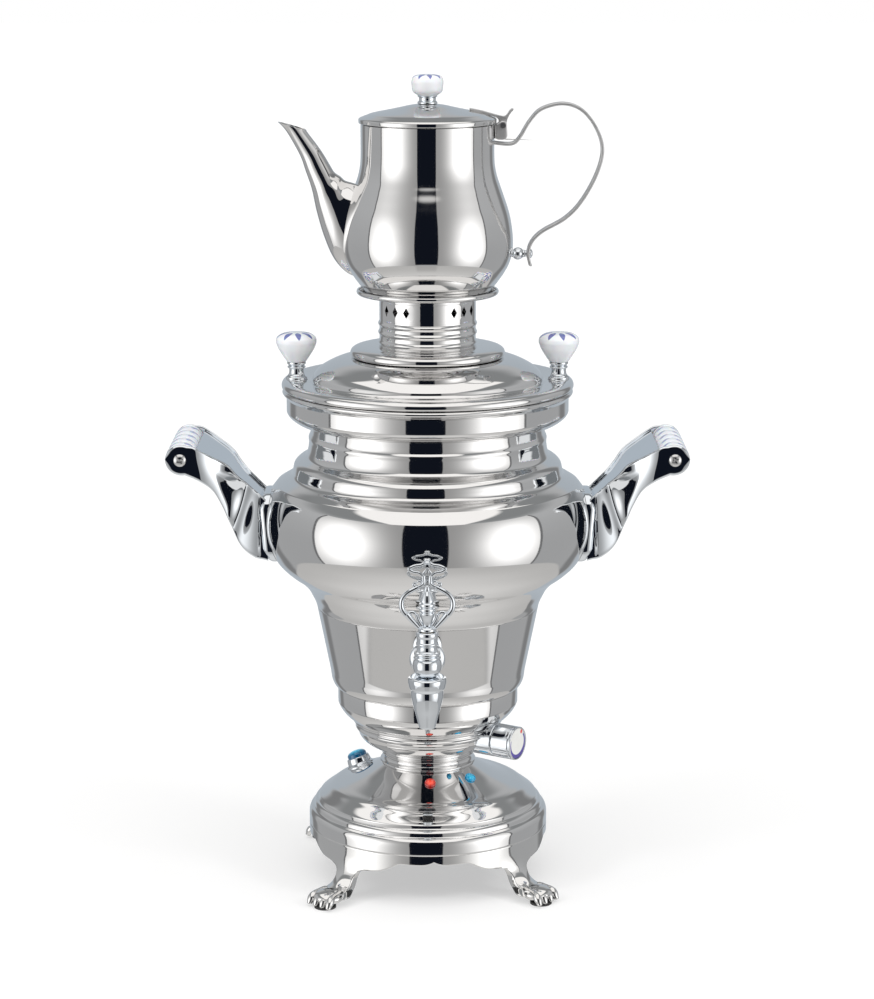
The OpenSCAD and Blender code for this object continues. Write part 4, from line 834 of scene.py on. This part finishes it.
# %% Strip handle and the ball that spaces it
strip = [Vector((x, 0, z)) for x,
         z in smooth([(40.8, 482.4), (52.4, 481.6), (57.3, 485.5), (63.4, 495.5), (71.2, 503.3),
         (85.2, 506.7), (97.6, 502.5), (107, 491), (111.3, 477), (107.6, 461.2), (98.2, 444),
         (87.7, 433), (73.2, 424.6), (66.9, 418.2), (64.8, 411), (66.4, 403.4)], 10)]
bar = [(x + 1.0, y) for x, y in slab(2.0, 9.0, 0.75)]
piece("strip_handle", swept(strip, bar, grow=[1.0] * (len(strip) - 3) + [0.94, 0.8, 0.55]),
      "satin steel", "teapot",
      ["teapot_handle"], crease=48)
ball = turned([(3.9 * sin(a), -3.9 * cos(a)) for a in (pi * k / 24 for k in range(25))], 40,
              closed=False)
neck = turned(rounded([(0, -12), (1.5, -12), (1.5, -4.6), (2.4, -3.6), (2.4, 3.9), (2.0, 4.6),
                       (2.0, 5.6), (0, 5.6)], 0.4), 36)
rivet = turned(rounded([(0, 7.3), (3.0, 7.3), (2.7, 8.6), (1.4, 9.3), (0, 9.4)], 0.5), 36)
spacer = together(ball, neck, rivet)
piece("handle_ball", spacer, "turned chrome", "teapot", ["teapot_handle_spacer"],
      shift(57.4, 0, 411.1) @ turn(90, "Y"))
print("handle path points", len(strip))

# %% Prisms for the small flat parts
def prism(outline, low, high):
    """An outline in the X-Z plane, given thickness along Y."""
    n = len(outline)
    points = [(x, low, z) for x, z in outline] + [(x, high, z) for x, z in outline]
    faces = [tuple(range(n)), tuple(range(n, 2 * n))] + [(k, (k + 1) % n, n + (k + 1) % n, n + k)
                                                         for k in range(n)]
    return points, faces


def round_part(x, z, r, start_at, end_at, steps=12):
    return [(x + r * cos(radians(a)), z + r * sin(radians(a)))
            for a in (start_at + (end_at - start_at) * k / steps for k in range(steps + 1))]


print("prism ready")

# %% Hinge bracket, strap with its thumb lever
ear = [(42.35, 484.2), (44.6, 483.4)] + round_part(46.9, 486.9, 3.6, -90, -20, 6) + round_part(47.4,
        492.5, 2.6, -10, 130)
ear += [(43.5, 493.0), (42.35, 492.6)]
seat = [(42.35, 484.2), (44.6, 483.4)] + round_part(46.9, 486.4, 3.0, -90, 0, 6) + [(49.9, 488.7),
        (42.35, 488.7)]
piece("hinge_bracket", together(prism(ear, 2.35, 5.5), prism(ear, -5.5, -2.35),
                                prism(seat, -2.35, 2.35)),
      "satin steel", "teapot", ["teapot_hinge_bracket"], bevel=0.6)
lever = [tuple(p) for p in smooth([(-21, 9.0), (-12.9, 7.0), (-6.6, 5.4), (-4, 4.4), (-2.9, 3.2),
                                   (-2.4, 1.0)], 5)]
lever += round_part(0, 0, 2.45, 155, 380, 14)
lever += [tuple(p) for p in smooth([(2.9, 3.4), (4.6, 6.8), (6.9, 9.4)], 5)] + [(6.5, 10.1),
        (5.5, 10.2)]
lever += [tuple(p) for p in smooth([(4.2, 9.0), (1.4, 5.6), (-3.2, 6.1), (-12.6, 8.7), (-21, 10.4)], 5)]
piece("hinge_strap", prism(lever, -1.95, 1.95), "satin steel", "pot_lid", ["teapot_lid_strap"],
      shift(47.4, 0, 492.5),
      bevel=0.25)
print("hinge done")

# %% Pot lid with its ferrule and knob
cover_line = smooth([(42.2, 493.4), (43.3, 493.6), (43.5, 494.4), (43.5, 496.0), (42.6, 496.9)],
                    4)[:-1] + smooth(
    [(42.6, 496.9), (38.4, 498.5), (34.5, 499.8), (21.2, 502.5), (11.8, 504.6), (6, 505.4), (0, 505.5)],
    8)
cover = together(turned(sheet(cover_line, 0.8)), turned(rounded(
    [(40.1, 488.4), (40.9, 488.4), (40.9, 496.6), (40.1, 496.6), (40.1, 488.4)], 0.2)))
piece("pot_lid_shell", cover, "spun steel", "pot_lid", ["teapot_lid"])
ferrule = turned(rounded([(0, 505.6), (6.3, 505.6), (6.3, 506.7), (5.3, 507.5), (5.3, 509.4),
                          (6.3, 510.2), (6.3, 510.5), (0, 510.5)], 0.35), 64)
piece("knob_ferrule", ferrule, "turned chrome", "pot_lid", ["teapot_lid_ferrule"])
pot_knob = turned(smooth([(5.8, 0.0), (6.3, 0.4), (9.2, 2.6), (10, 6.8), (10, 9.5), (8.5, 12.3),
                          (4, 13.35), (0, 13.5)]), 96,
                  closed=False)
piece("pot_knob", pot_knob, "pot knob porcelain", "pot_lid", ["teapot_lid_knob"], shift(z=510.5))
print("pot lid done")

# %% [markdown]
# ## The lid's knobs
# A porcelain bulb sits on a waisted chrome stem. Both are turned forms, and the stem's waist and
# the flare above it matter more than any detail, because they catch the light as small rings.

# %% Stems and bulbs
stem_line = smooth([(7.2, -0.4), (6.9, 0.3), (6.7, 1.3), (5.4, 2.6), (4.9, 3.7), (4.7, 5.2),
                    (4.8, 6.6)], 6)[:-1] + smooth(
    [(4.8, 6.6), (5.7, 7.3), (5.7, 8.0), (5.0, 8.6), (5.5, 9.3), (6.0, 9.8), (6.0, 10.9)], 4)
stem = turned([Vector((0, -0.4))] + stem_line + [Vector((0, 10.9))], 72)
bulb_line = smooth([(5.8, 0.0), (6.4, 0.6), (8.6, 3.8), (11.2, 8.0), (12.6, 11.4), (13, 13.3),
                    (12.35, 15.8), (9.1, 18.05), (4.55, 18.85), (0, 19)], 6)
bulb = turned(bulb_line, 96, closed=False)
sides = (shift(84, 0, 330.7), shift(-84, 0, 330.7))
piece("knob_stems", together(*(moved(stem, s) for s in sides)), "chrome", "lid", ["lid_knob_stems"])
for side, place in zip(("right", "left"), sides):
    piece("lid_knob_" + side, bulb, "lid knob porcelain", "lid", ["lid_knobs"], place @ shift(z=11))
print("lid knobs done")

# %% [markdown]
# ## The side handles
# Each handle is a casting with two cheeks joined by a web, and a porcelain grip between their
# ends. In plan the cheeks are not straight: they leave the body close together, swing apart and
# run parallel again at the grip. That swing, seen in a mirror finish, makes the bold black and
# white bands, so the cheeks are laid out as bent grids with rolled rims.

# %% Outline of a cheek
root_x, root_z, grip_x, grip_z = 98.0, 215.5, 156.5, 284.5


def share(points):
    return [(root_x + (grip_x - root_x) * x, root_z + (grip_z - root_z) * z) for x, z in points]


def evenly(line, count):
    """The same line with points at equal distances."""
    gone = [0.0]
    for a, b in zip(line, line[1:]):
        gone.append(gone[-1] + (b - a).length)
    out, k = [], 0
    for i in range(count):
        want = gone[-1] * i / (count - 1)
        while k < len(line) - 2 and gone[k + 1] < want:
            k += 1
        out.append(line[k].lerp(line[k + 1], (want - gone[k]) / (gone[k + 1] - gone[k])))
    return out


under = evenly(smooth(share([(0.08, -0.012), (0.12, 0), (0.235, 0.03), (0.375, 0.155), (0.49, 0.39),
                             (0.565, 0.555), (0.66, 0.705), (0.8, 0.8), (0.95, 0.857)]), 12), 90)
over = evenly(smooth(share([(0.1, 0.574), (0.29, 0.729), (0.398, 0.823), (0.504, 0.936), (0.656, 1.02),
                            (0.79, 1.09), (0.86, 1.122), (0.93, 1.13)]), 12), 90)
print("cheek width at its root", round((over[0] - under[0]).length, 1))

# %% Cheeks with rolled rims
def plan(x, z=None):
    """Half distance between the outer faces of the cheeks."""
    t = min(max((x - 106) / 42, 0), 1)
    out = 19 + 18.4 * t * t * (3 - 2 * t)
    if z is not None:
        across = (x - 119) + 0.30 * (z - 255)
        out -= 1.3 * 2.718 ** (-(across / 3.4) ** 2)
    return out


def cheek():
    pairs = list(zip(under, over))
    centre, reach = Vector((grip_x, grip_z)), 9.4
    low_from = degrees(atan2(under[-1].y - grip_z, under[-1].x - grip_x))
    high_from = degrees(atan2(over[-1].y - grip_z, over[-1].x - grip_x))
    for k in range(1, 22):
        t = k / 22
        low, high = radians(low_from + (5 - low_from) * t), radians(high_from + (5 - high_from) * t)
        near = 1 - (1 - t) ** 3
        lower = centre + ((under[-1] - centre).length * (1 - near) + reach * near) * Vector((cos(low),
                sin(low)))
        upper = centre + ((over[-1] - centre).length * (1 - near) + reach * near) * Vector((cos(high),
                sin(high)))
        pairs.append((lower, upper))
    rings, gauge, rim = [], 2.2, 1.5
    for low, high in pairs:
        width = (high - low).length
        roll = min(rim, width * 0.3)
        marks = ([(0.0, gauge / 2)] + [(roll * (1 - cos(a)), gauge / 2 * (1 - sin(a)))
                                       for a in (radians(15 * k) for k in range(1, 6))]
                 + [(roll + (width - 2 * roll) * k / 22, 0.0) for k in range(23)]
                 + [(width - roll * (1 - cos(a)), gauge / 2 * (1 - sin(a)))
                    for a in (radians(15 * k) for k in range(5, 0, -1))]
                 + [(width, gauge / 2)])
        back = [(u, gauge - d) for u, d in reversed(marks[1:-1])]
        ring = []
        for u, deep in marks + back:
            spot = low.lerp(high, u / max(width, 1e-6))
            bulge = 0.9 * sin(pi * min(max(u / max(width, 1e-6), 0), 1))
            ring.append((spot.x, plan(spot.x, spot.y) - deep + (bulge if spot.x > 108 else 0.0),
                         spot.y))
        rings.append(ring)
    return skin(rings)


print("cheek faces", len(cheek()[1]))

# %% Web, root flange, and both brackets
belly_by_height = [(p.y, p.x) for p in belly_line]


def flange():
    rim, rings = slab(41, 45, 9, 8), []
    levels = [(1.0, 0.15), (1.0, 2.6), (0.99, 3.6), (0.965, 4.4), (0.92, 4.9), (0.85, 5.0)] + [
        (0.85 * (1 - k / 8), 5.0) for k in range(1, 9)]
    for size, out in levels:
        ring = []
        for y, z in rim:
            y, z = y * max(size, 0.004), 235.5 + z * max(size, 0.004)
            reach = at(belly_by_height, z) + out
            ring.append((sqrt(reach * reach - y * y), y, z))
        rings.append(ring)
    return skin(rings)


def web():
    rings = []
    for i, point in enumerate(over[2:80]):
        way = (over[i + 3] - over[i + 1]).normalized()
        down = Vector((way.y, -way.x))
        half = plan(point.x) - 1.2
        top = point + down * 1.6
        n = 12
        ring = [(top.x, -half + 2 * half * k / n, top.y) for k in range(n + 1)]
        low = top + down * 2.0
        ring += [(low.x, half - 2 * half * k / n, low.y) for k in range(n + 1)]
        rings.append(ring)
    return skin(rings)


flip = Matrix.Diagonal((1, -1, 1, 1))
bracket = together(cheek(), moved(cheek(), flip), web(), flange())
piece("bracket_right", bracket, "chrome", "stand", ["handle_bracket_right"], crease=42)
piece("bracket_left", bracket, "chrome", "stand", ["handle_bracket_left"], turn(180), crease=42)
print("bracket faces", len(bracket[1]))

# %% Ribbed porcelain grips
grip_line = [Vector((0.0, -34.9)), Vector((8.4, -34.9)), Vector((9.3, -34.2))]
grip_line += [Vector((8.7 + 0.9 * abs(cos(pi * y / rib_length)) ** 0.6, y))
              for y in (-33.6 + 67.2 * k / 168 for k in range(169))]
grip_line += [Vector((9.3, 34.2)), Vector((8.4, 34.9)), Vector((0.0, 34.9))]
grip = turned(grip_line, 72, closed=False)
for side, x in (("right", grip_x), ("left", -grip_x)):
    piece("grip_" + side, grip, "grip porcelain", "stand", ["handle_grip_" + side],
          shift(x, 0, grip_z) @ turn(90, "X"))
print("grips done")

# %% Cross-head screws of the grips
def screw_head(radius=4.0, height=2.5):
    rings = [[(radius * cos(2 * pi * k / 72), radius * sin(2 * pi * k / 72), 0) for k in range(72)]]
    for reach in [1.0, 0.985, 0.95, 0.88] + [0.8 - 0.04 * k for k in range(20)]:
        ring = []
        for k in range(72):
            x, y = reach * radius * cos(2 * pi * k / 72), reach * radius * sin(2 * pi * k / 72)
            top = height * sqrt(max(0.0, 1 - 0.80 * reach * reach)) if reach < 1 else height * 0.25
            arm = min(max(abs(x), abs(y)) / 2.3, 1.0)
            narrow = min(abs(x), abs(y))
            cut = (1.3 * (1 - 0.6 * arm)) if narrow < 0.42 and max(abs(x), abs(y)) < 2.3 else 0.0
            ring.append((x, y, top - cut))
        rings.append(ring)
    return skin(rings)


heads = [moved(screw_head(), shift(x, y * 37.35, grip_z) @ turn(-90 * y, "X") @ turn(30))
         for x in (grip_x, -grip_x) for y in (1, -1)]
piece("grip_screw_heads", together(*heads), "screw steel", "stand", ["grip_screws"], crease=30)
print("screw heads", len(heads))

# %% [markdown]
# ## The tap
# The tap is cast and chromed: a round collar behind, a ball with the seat of the plug, a long
# stepped nozzle below and a ringed bonnet above. Everything but the key is turned work. The body
# lies on its side, so its outline is turned and then laid down towards the tank.

# %% Body, nozzle and bonnet
tap = Vector((0, -118, 172.8))
core = turned(rounded([(4.3, -7), (5.6, -7), (7.2, -5.6), (8.3, -3.6), (8.9, -1.2), (8.9, 1.4),
                       (8.4, 3.2), (7.6, 4.4), (4.3, 4.4), (4.3, -7)], 0.6), 72)
shank = turned(rounded([(0, 5), (7, 5), (7, 10.6), (9.4, 11.4), (11, 12.8), (11.2, 14.4), (10.6, 15.8),
                        (8.6, 17.8), (7.2, 20.6), (7, 24), (7, 42.4), (9, 43.2), (9, 45.2), (5, 45.2),
                        (5, 59), (2.8, 59), (2.8, 46), (0, 46)], 0.7), 72)
lay_back = turn(-90, "X")
piece("tap_casting", together(core, moved(shank, lay_back)), "chrome", "stand", ["tap_body"],
      shift(*tap))
nozzle_line = rounded([(3.2, -0.1), (10.6, -0.1), (11.8, -1.0), (11.9, -3.4), (11.3, -6.6),
                       (10.9, -7.6), (10.3, -8.2)], 0.7)
nozzle_line += smooth([(10.1, -8.6), (9.9, -13), (8.6, -19), (7.0, -24.8), (5.2, -32.0)])
nozzle_line += rounded([(4.9, -32.7), (4.2, -33), (3.2, -32.8), (3.2, -0.1)], 0.3)
piece("tap_nozzle_cone", turned(nozzle_line, 96), "turned chrome", "stand", ["tap_nozzle"],
      shift(0, -118, 165.8))
bonnet_line = rounded([(4.3, 0), (8.4, 0), (8.4, 1.4), (7.2, 2.0), (8.2, 2.7), (8.2, 3.9), (6.8, 4.7),
                       (6.1, 6.4), (6.1, 8.2), (6.9, 9.0), (6.9, 9.9), (6.3, 10.5), (6.5, 13.4),
                       (7.0, 14.4), (7.0, 16.4), (6.4, 17), (4.3, 17), (4.3, 0)], 0.5)
piece("tap_bonnet_rings", turned(bonnet_line, 96), "turned chrome", "stand", ["tap_bonnet"],
      shift(0, -118, 177.2))
print("tap turned parts done")

# %% The key: a crown, two bows, curls and a baluster
def rod(points, thick, thin=None, steps=8):
    path = [Vector((x, 0, z)) for x, z in smooth(points, steps)]
    thin = thick if thin is None else thin
    size = [thick + (thin - thick) * k / (len(path) - 1) for k in range(len(path))]
    return swept(path, disc(1, 18), grow=[s * b for s, b in zip(size, blunt(len(path), 2))])


half_key = [
    rod([(0, 42.2), (2.0, 42.0), (3.8, 41.2), (7.6, 40.6), (10.9, 39.0), (10.6, 38.0), (8.4, 36.9),
         (5.4, 36.4), (3.6, 35.3), (2.2, 34.0)], 0.95, 0.95, 6),
    rod([(2.3, 34.8), (2.1, 32.6), (2.0, 30.4), (2.6, 28.8)], 1.05),
    rod([(2.3, 29.8), (3.6, 28.3), (5.6, 27.6), (7.3, 27.7), (8.3, 28.8), (7.8, 30.0), (6.7, 29.9),
         (6.5, 29.0)], 1.0, 0.8, 6),
    rod([(3.4, 29.6), (4.2, 31.0), (5.3, 31.2), (5.6, 30.2)], 0.8, 0.6, 6),
    rod([(5.0, 27.6), (8.2, 26.0), (12.5, 23.4), (15.0, 20.2), (15.7, 17.0), (15.2, 13.6), (13.3, 10.6),
         (12.2, 9.8)], 1.35, 1.75),
    rod([(12.6, 10.9), (10.4, 8.0), (7.4, 4.5), (4.6, 1.4)], 2.15, 1.3),
    rod([(6.6, 10.8), (5.6, 7.4), (3.6, 3.6), (2.4, 1.8)], 1.15, 1.2),
    rod([(12.0, 10.6), (9.2, 11.6), (6.6, 10.6)], 1.2, 1.1, 6),
]
other_half = [moved(part, Matrix.Diagonal((-1, 1, 1, 1))) for part in half_key]
spindle = turned(smooth([(0, 1.8), (2.2, 2), (3.2, 6), (4.4, 9.4), (4.8, 11.2), (4.2, 12), (5.0, 12.8),
                         (5.0, 14.2), (4.3, 15), (5.0, 15.8), (5.0, 17.2), (4.2, 18), (4.5, 19),
                         (3.2, 22.5), (1.8, 25.4), (1.1, 28), (0, 28.6)], 5), 60, closed=False)
foot = turned(rounded([(0, 0.1), (5.6, 0.1), (5.6, 1.6), (4.6, 2.6), (3.4, 3.2), (0, 3.4)], 0.5), 60)
finial = turned(rounded([(0, 41.6), (1.6, 41.8), (2.6, 43.0), (1.7, 44.0), (2.2, 44.9), (1.2, 45.5),
                         (0, 45.5)], 0.3), 36)
piece("tap_key_casting", together(*half_key, *other_half, spindle, foot, finial), "chrome", "tap_valve",
      ["tap_key"],
      shift(0, -118, 194.5))
print("key width", round(pieces["tap_key_casting"].dimensions.x * 1000, 1))

# %% [markdown]
# ## Thermostat knob and dial
# The knob is a long plated cylinder that turns on a fixed sleeve, with a printed disc let into
# its face. The joint between sleeve and knob is only a hair wide, but it is what says that the
# knob turns.

# %% Sleeve, knob and disc
outward = shift(z=98) @ turn(57.6 - 90) @ turn(90, "Y")
sleeve = turned(rounded([(5.2, 33), (10.4, 33), (10.9, 34), (10.9, 53.4), (10.5, 54), (5.2, 54),
                         (5.2, 33)], 0.3), 96)
piece("thermostat_sleeve_tube", sleeve, "turned chrome", "stand", ["thermostat_sleeve"], outward)
knob = turned(rounded([(0, 54.3), (10.5, 54.3), (10.9, 54.8), (10.9, 66.6), (10.6, 67.0), (10.6, 67.4),
                       (10.9, 67.8), (10.9, 68.6), (10.6, 69), (10.1, 69), (9.95, 68.2),
                       (0, 68.2)], 0.22), 96)
piece("thermostat_knob_tube", knob, "turned chrome", "thermostat", ["thermostat_knob"], outward)
disc_line = rounded([(0, 0), (9.85, 0), (9.85, 0.45), (9.5, 0.7), (0, 0.75)], 0.15)
piece("thermostat_disc", turned(disc_line, 96), "dial print", "thermostat", ["thermostat_dial"],
      outward @ shift(z=68.05))
print("thermostat done")

# %% [markdown]
# ## Switch and lamps on the dome
# All three stand square to the dome's slope. One matrix puts a piece at a direction, a distance
# from the axis and a tilt, which is how the frame sets its own parts too.

# %% Set a piece square to the dome
def on_dome(direction, distance, tilt):
    for a, b in zip(dome_line, dome_line[1:]):
        if b.x <= distance <= a.x:
            z = a.y + (b.y - a.y) * (distance - a.x) / (b.x - a.x)
    return turn(direction - 90) @ shift(distance, 0, z) @ turn(tilt, "Y")


bezel = turned(rounded([(6.7, -6), (7.7, -6), (7.7, -3.0), (9.9, -3.0), (9.9, 0.2), (9.0, 1.2),
                        (8.0, 1.8), (7.8, 3.8), (7.5, 5.6), (7.1, 6.0), (6.8, 5.6),
                        (6.7, -6)], 0.6), 96)
piece("switch_bezel_ring", bezel, "turned chrome", "stand", ["switch_bezel"], on_dome(-118, 51, 24))
button_line = [Vector((0, -6.4)), Vector((6.4, -6.4))]
button_line += [Vector((6.45 * cos(a) ** 0.9, 7.4 + 3.1 * sin(a)))
                for a in (radians(6 * k) for k in range(15))]
button_line += [Vector((0, 10.5))]
piece("switch_lens", turned(button_line, 96), "button lens", "button", ["switch_button"],
      on_dome(-118, 51, 24))
lamp_line = rounded([(0, -6), (3.0, -6), (3.0, 0.2), (3.6, 0.3), (3.6, 1.0), (3.2, 1.5), (2.9, 1.5),
                     (2.6, 1.2)], 0.25)
lamp_line += smooth([(2.4, 1.3), (1.6, 1.9), (0.9, 2.15), (0, 2.2)])
for colour, direction in (("red", 2.5), ("blue", 46.6)):
    piece(colour + "_lamp_lens", turned(lamp_line, 72), colour + " lamp lens", "stand",
          [colour + "_lamp"],
          on_dome(direction, 38, 29))
print("pieces made:", len(pieces))

# %% [markdown]
# ## A studio for the steel
# The samovar mirrors the room it was lit in. Softboxes as area lights give hot spots, but the
# broad shapes in the steel are screens, walls, a table and a dark gap where the camera stood.
# They are painted on the World by direction, which is exact, quick to render and has no noise.

# %% Directions as angles
world = bpy.data.worlds.new("studio")
bpy.context.scene.world = world
world.use_nodes = True
room = world.node_tree
heading = node(room, "ShaderNodeTexCoord", {}, {}, "Generated")
wx, wy, wz = parts(heading)
front = -wy
bearing = node(room, "ShaderNodeMath", {"operation": "ARCTAN2"}, {0: wx, 1: front}) * (180 / pi)
around = abs(bearing)
height = wz.maths("ARCSINE") * (180 / pi)
print("the room is painted by direction")

# %% Paint the room
slot_middle, slot_half = -1.5, 16.0
screen_near, screen_far, screen_low, screen_high = 13.5, 85.0, -33.0, 33.0


def grey(value):
    return (value * 0.985, value, value * 1.02)


off_gap = abs(bearing - slot_middle)
walls = tinted(rise(height, 5.0, 40.0), grey(0.42), grey(0.50))
paint = tinted(between(around, 136.0, 150.0, 8.0), walls, grey(0.24))
paint = tinted(rise(around, 152.0, 6.0) * (1 - rise(height, 24.0, 6.0)), paint, (0.46, 0.51, 0.56))
paint = tinted(rise(height, 34.0, 14.0), paint, (0.27, 0.28, 0.285))
safe = wz.maths("MAXIMUM", 0.05)
panel = (1 - rise(abs(wx / safe), 0.75, 0.10)) * between(front / safe, -0.58, 1.54, 0.12) * rise(wz,
        0.3, 0.05)
paint = tinted(panel, paint, (1.14, 1.12, 1.10))
screen = between(around, screen_near, screen_far, 0.8) * between(height, screen_low, screen_high, 1.2)
off_a, off_e = (around - 60.0) / 15.0, (height + 4.0) / 16.0
hot = node(room, "ShaderNodeMath", {"operation": "EXPONENT"},
           {0: (off_a * off_a + off_e * off_e) * -0.5})
level = 0.36 + 0.34 * rise(around, 44.0, 60.0) + 1.40 * hot
paint = tinted(screen, paint, scaled((1.0, 0.995, 0.99), level))
edge = between(around, screen_far, screen_far + 2.2, 0.6) * between(height, screen_low, screen_high,
        1.2)
paint = tinted(edge, paint, grey(0.18))
edge = between(around, 40.0, 90.0, 20.0) * between(height, -35.0, -33.2, 0.8)
paint = tinted(edge, paint, grey(0.22))
gap = (1 - rise(off_gap, slot_half, 0.7)) * between(height, -31.0, screen_high, 1.2)
paint = tinted(gap, paint, (0.006, 0.008, 0.014))
level = 0.56 + 0.22 * (1 - rise(height, -52.0, 40.0)) - 0.10 * (1 - rise(off_gap, slot_half,
        6.0)) * rise(height, -46.0, 10.0)
paint = tinted(1 - rise(height, screen_low, 1.5), paint, scaled((1.0, 0.99, 0.975), level))
seen = node(room, "ShaderNodeLightPath", {}, {}, "Is Camera Ray")
paint = tinted(seen, paint, (1.0, 1.0, 1.0))
backdrop = next(n for n in room.nodes if n.type == "BACKGROUND")
room.links.new(paint.out, backdrop.inputs["Color"])
print("nodes in the room", len(room.nodes))

# %% [markdown]
# ## Floor and lamps
# The floor of the picture is pure white with two pale shadows. A white floor that only reflects
# would need strong lamps and would show dark shadows, so half of its light is its own glow. Broad
# suns from the left and the right draw the shadows, a third one from above fills them, and none
# shows in the steel.

# %% Pale floor
floor_mesh = bpy.data.meshes.new("floor")
floor_mesh.from_pydata([(-9, -6, 0), (9, -6, 0), (9, 14, 0), (-9, 14, 0)], [], [(0, 1, 2, 3)])
floor = bpy.data.objects.new("floor", floor_mesh)
bpy.context.scene.collection.objects.link(floor)
floor.visible_glossy = False
floor_paint = bpy.data.materials.new("pale floor")
floor_paint.use_nodes = True
ground = next(n for n in floor_paint.node_tree.nodes if n.type == "BSDF_PRINCIPLED")
ground.inputs["Base Color"].default_value = (0.5, 0.5, 0.5, 1)
ground.inputs["Roughness"].default_value = 0.9
ground.inputs["Specular IOR Level"].default_value = 0.0
ground.inputs["Emission Color"].default_value = (1, 1, 1, 1)
ground.inputs["Emission Strength"].default_value = 0.48
floor_mesh.materials.append(floor_paint)
print("floor laid")

# %% Three broad suns
def sun(name, direction, elevation, strength, spread):
    lamp = bpy.data.lights.new(name, "SUN")
    lamp.energy, lamp.angle = strength, radians(spread)
    thing = bpy.data.objects.new(name, lamp)
    towards = Vector((sin(radians(direction)) * cos(radians(elevation)),
                      -cos(radians(direction)) * cos(radians(elevation)), sin(radians(elevation))))
    thing.rotation_euler = towards.to_track_quat("Z", "Y").to_euler()
    thing.visible_glossy = False
    bpy.context.scene.collection.objects.link(thing)


sun("left sun", -58, 36, 0.50, 12)
sun("right sun", 62, 36, 0.50, 12)
sun("top sun", 0, 70, 0.9, 60)
print("suns set")

# %% [markdown]
# ## The camera
# The picture was taken from slightly above the middle with a long lens. The lens and the tilt
# were worked out from the ellipses of the collar and the foot ring, which open by different
# amounts when they are seen from one height.

# %% Camera
lens_data = bpy.data.cameras.new("camera")
lens_data.lens, lens_data.sensor_width, lens_data.sensor_fit = 100.0, 36.0, "AUTO"
lens_data.clip_end = 60
camera = bpy.data.objects.new("camera", lens_data)
camera.location = (0.0060, -1.7574, 0.6248)
camera.rotation_euler = (radians(78), 0, 0)
bpy.context.scene.collection.objects.link(camera)
bpy.context.scene.camera = camera
bpy.context.scene.view_settings.view_transform = "Standard"
print("camera", tuple(round(v, 3) for v in camera.location))
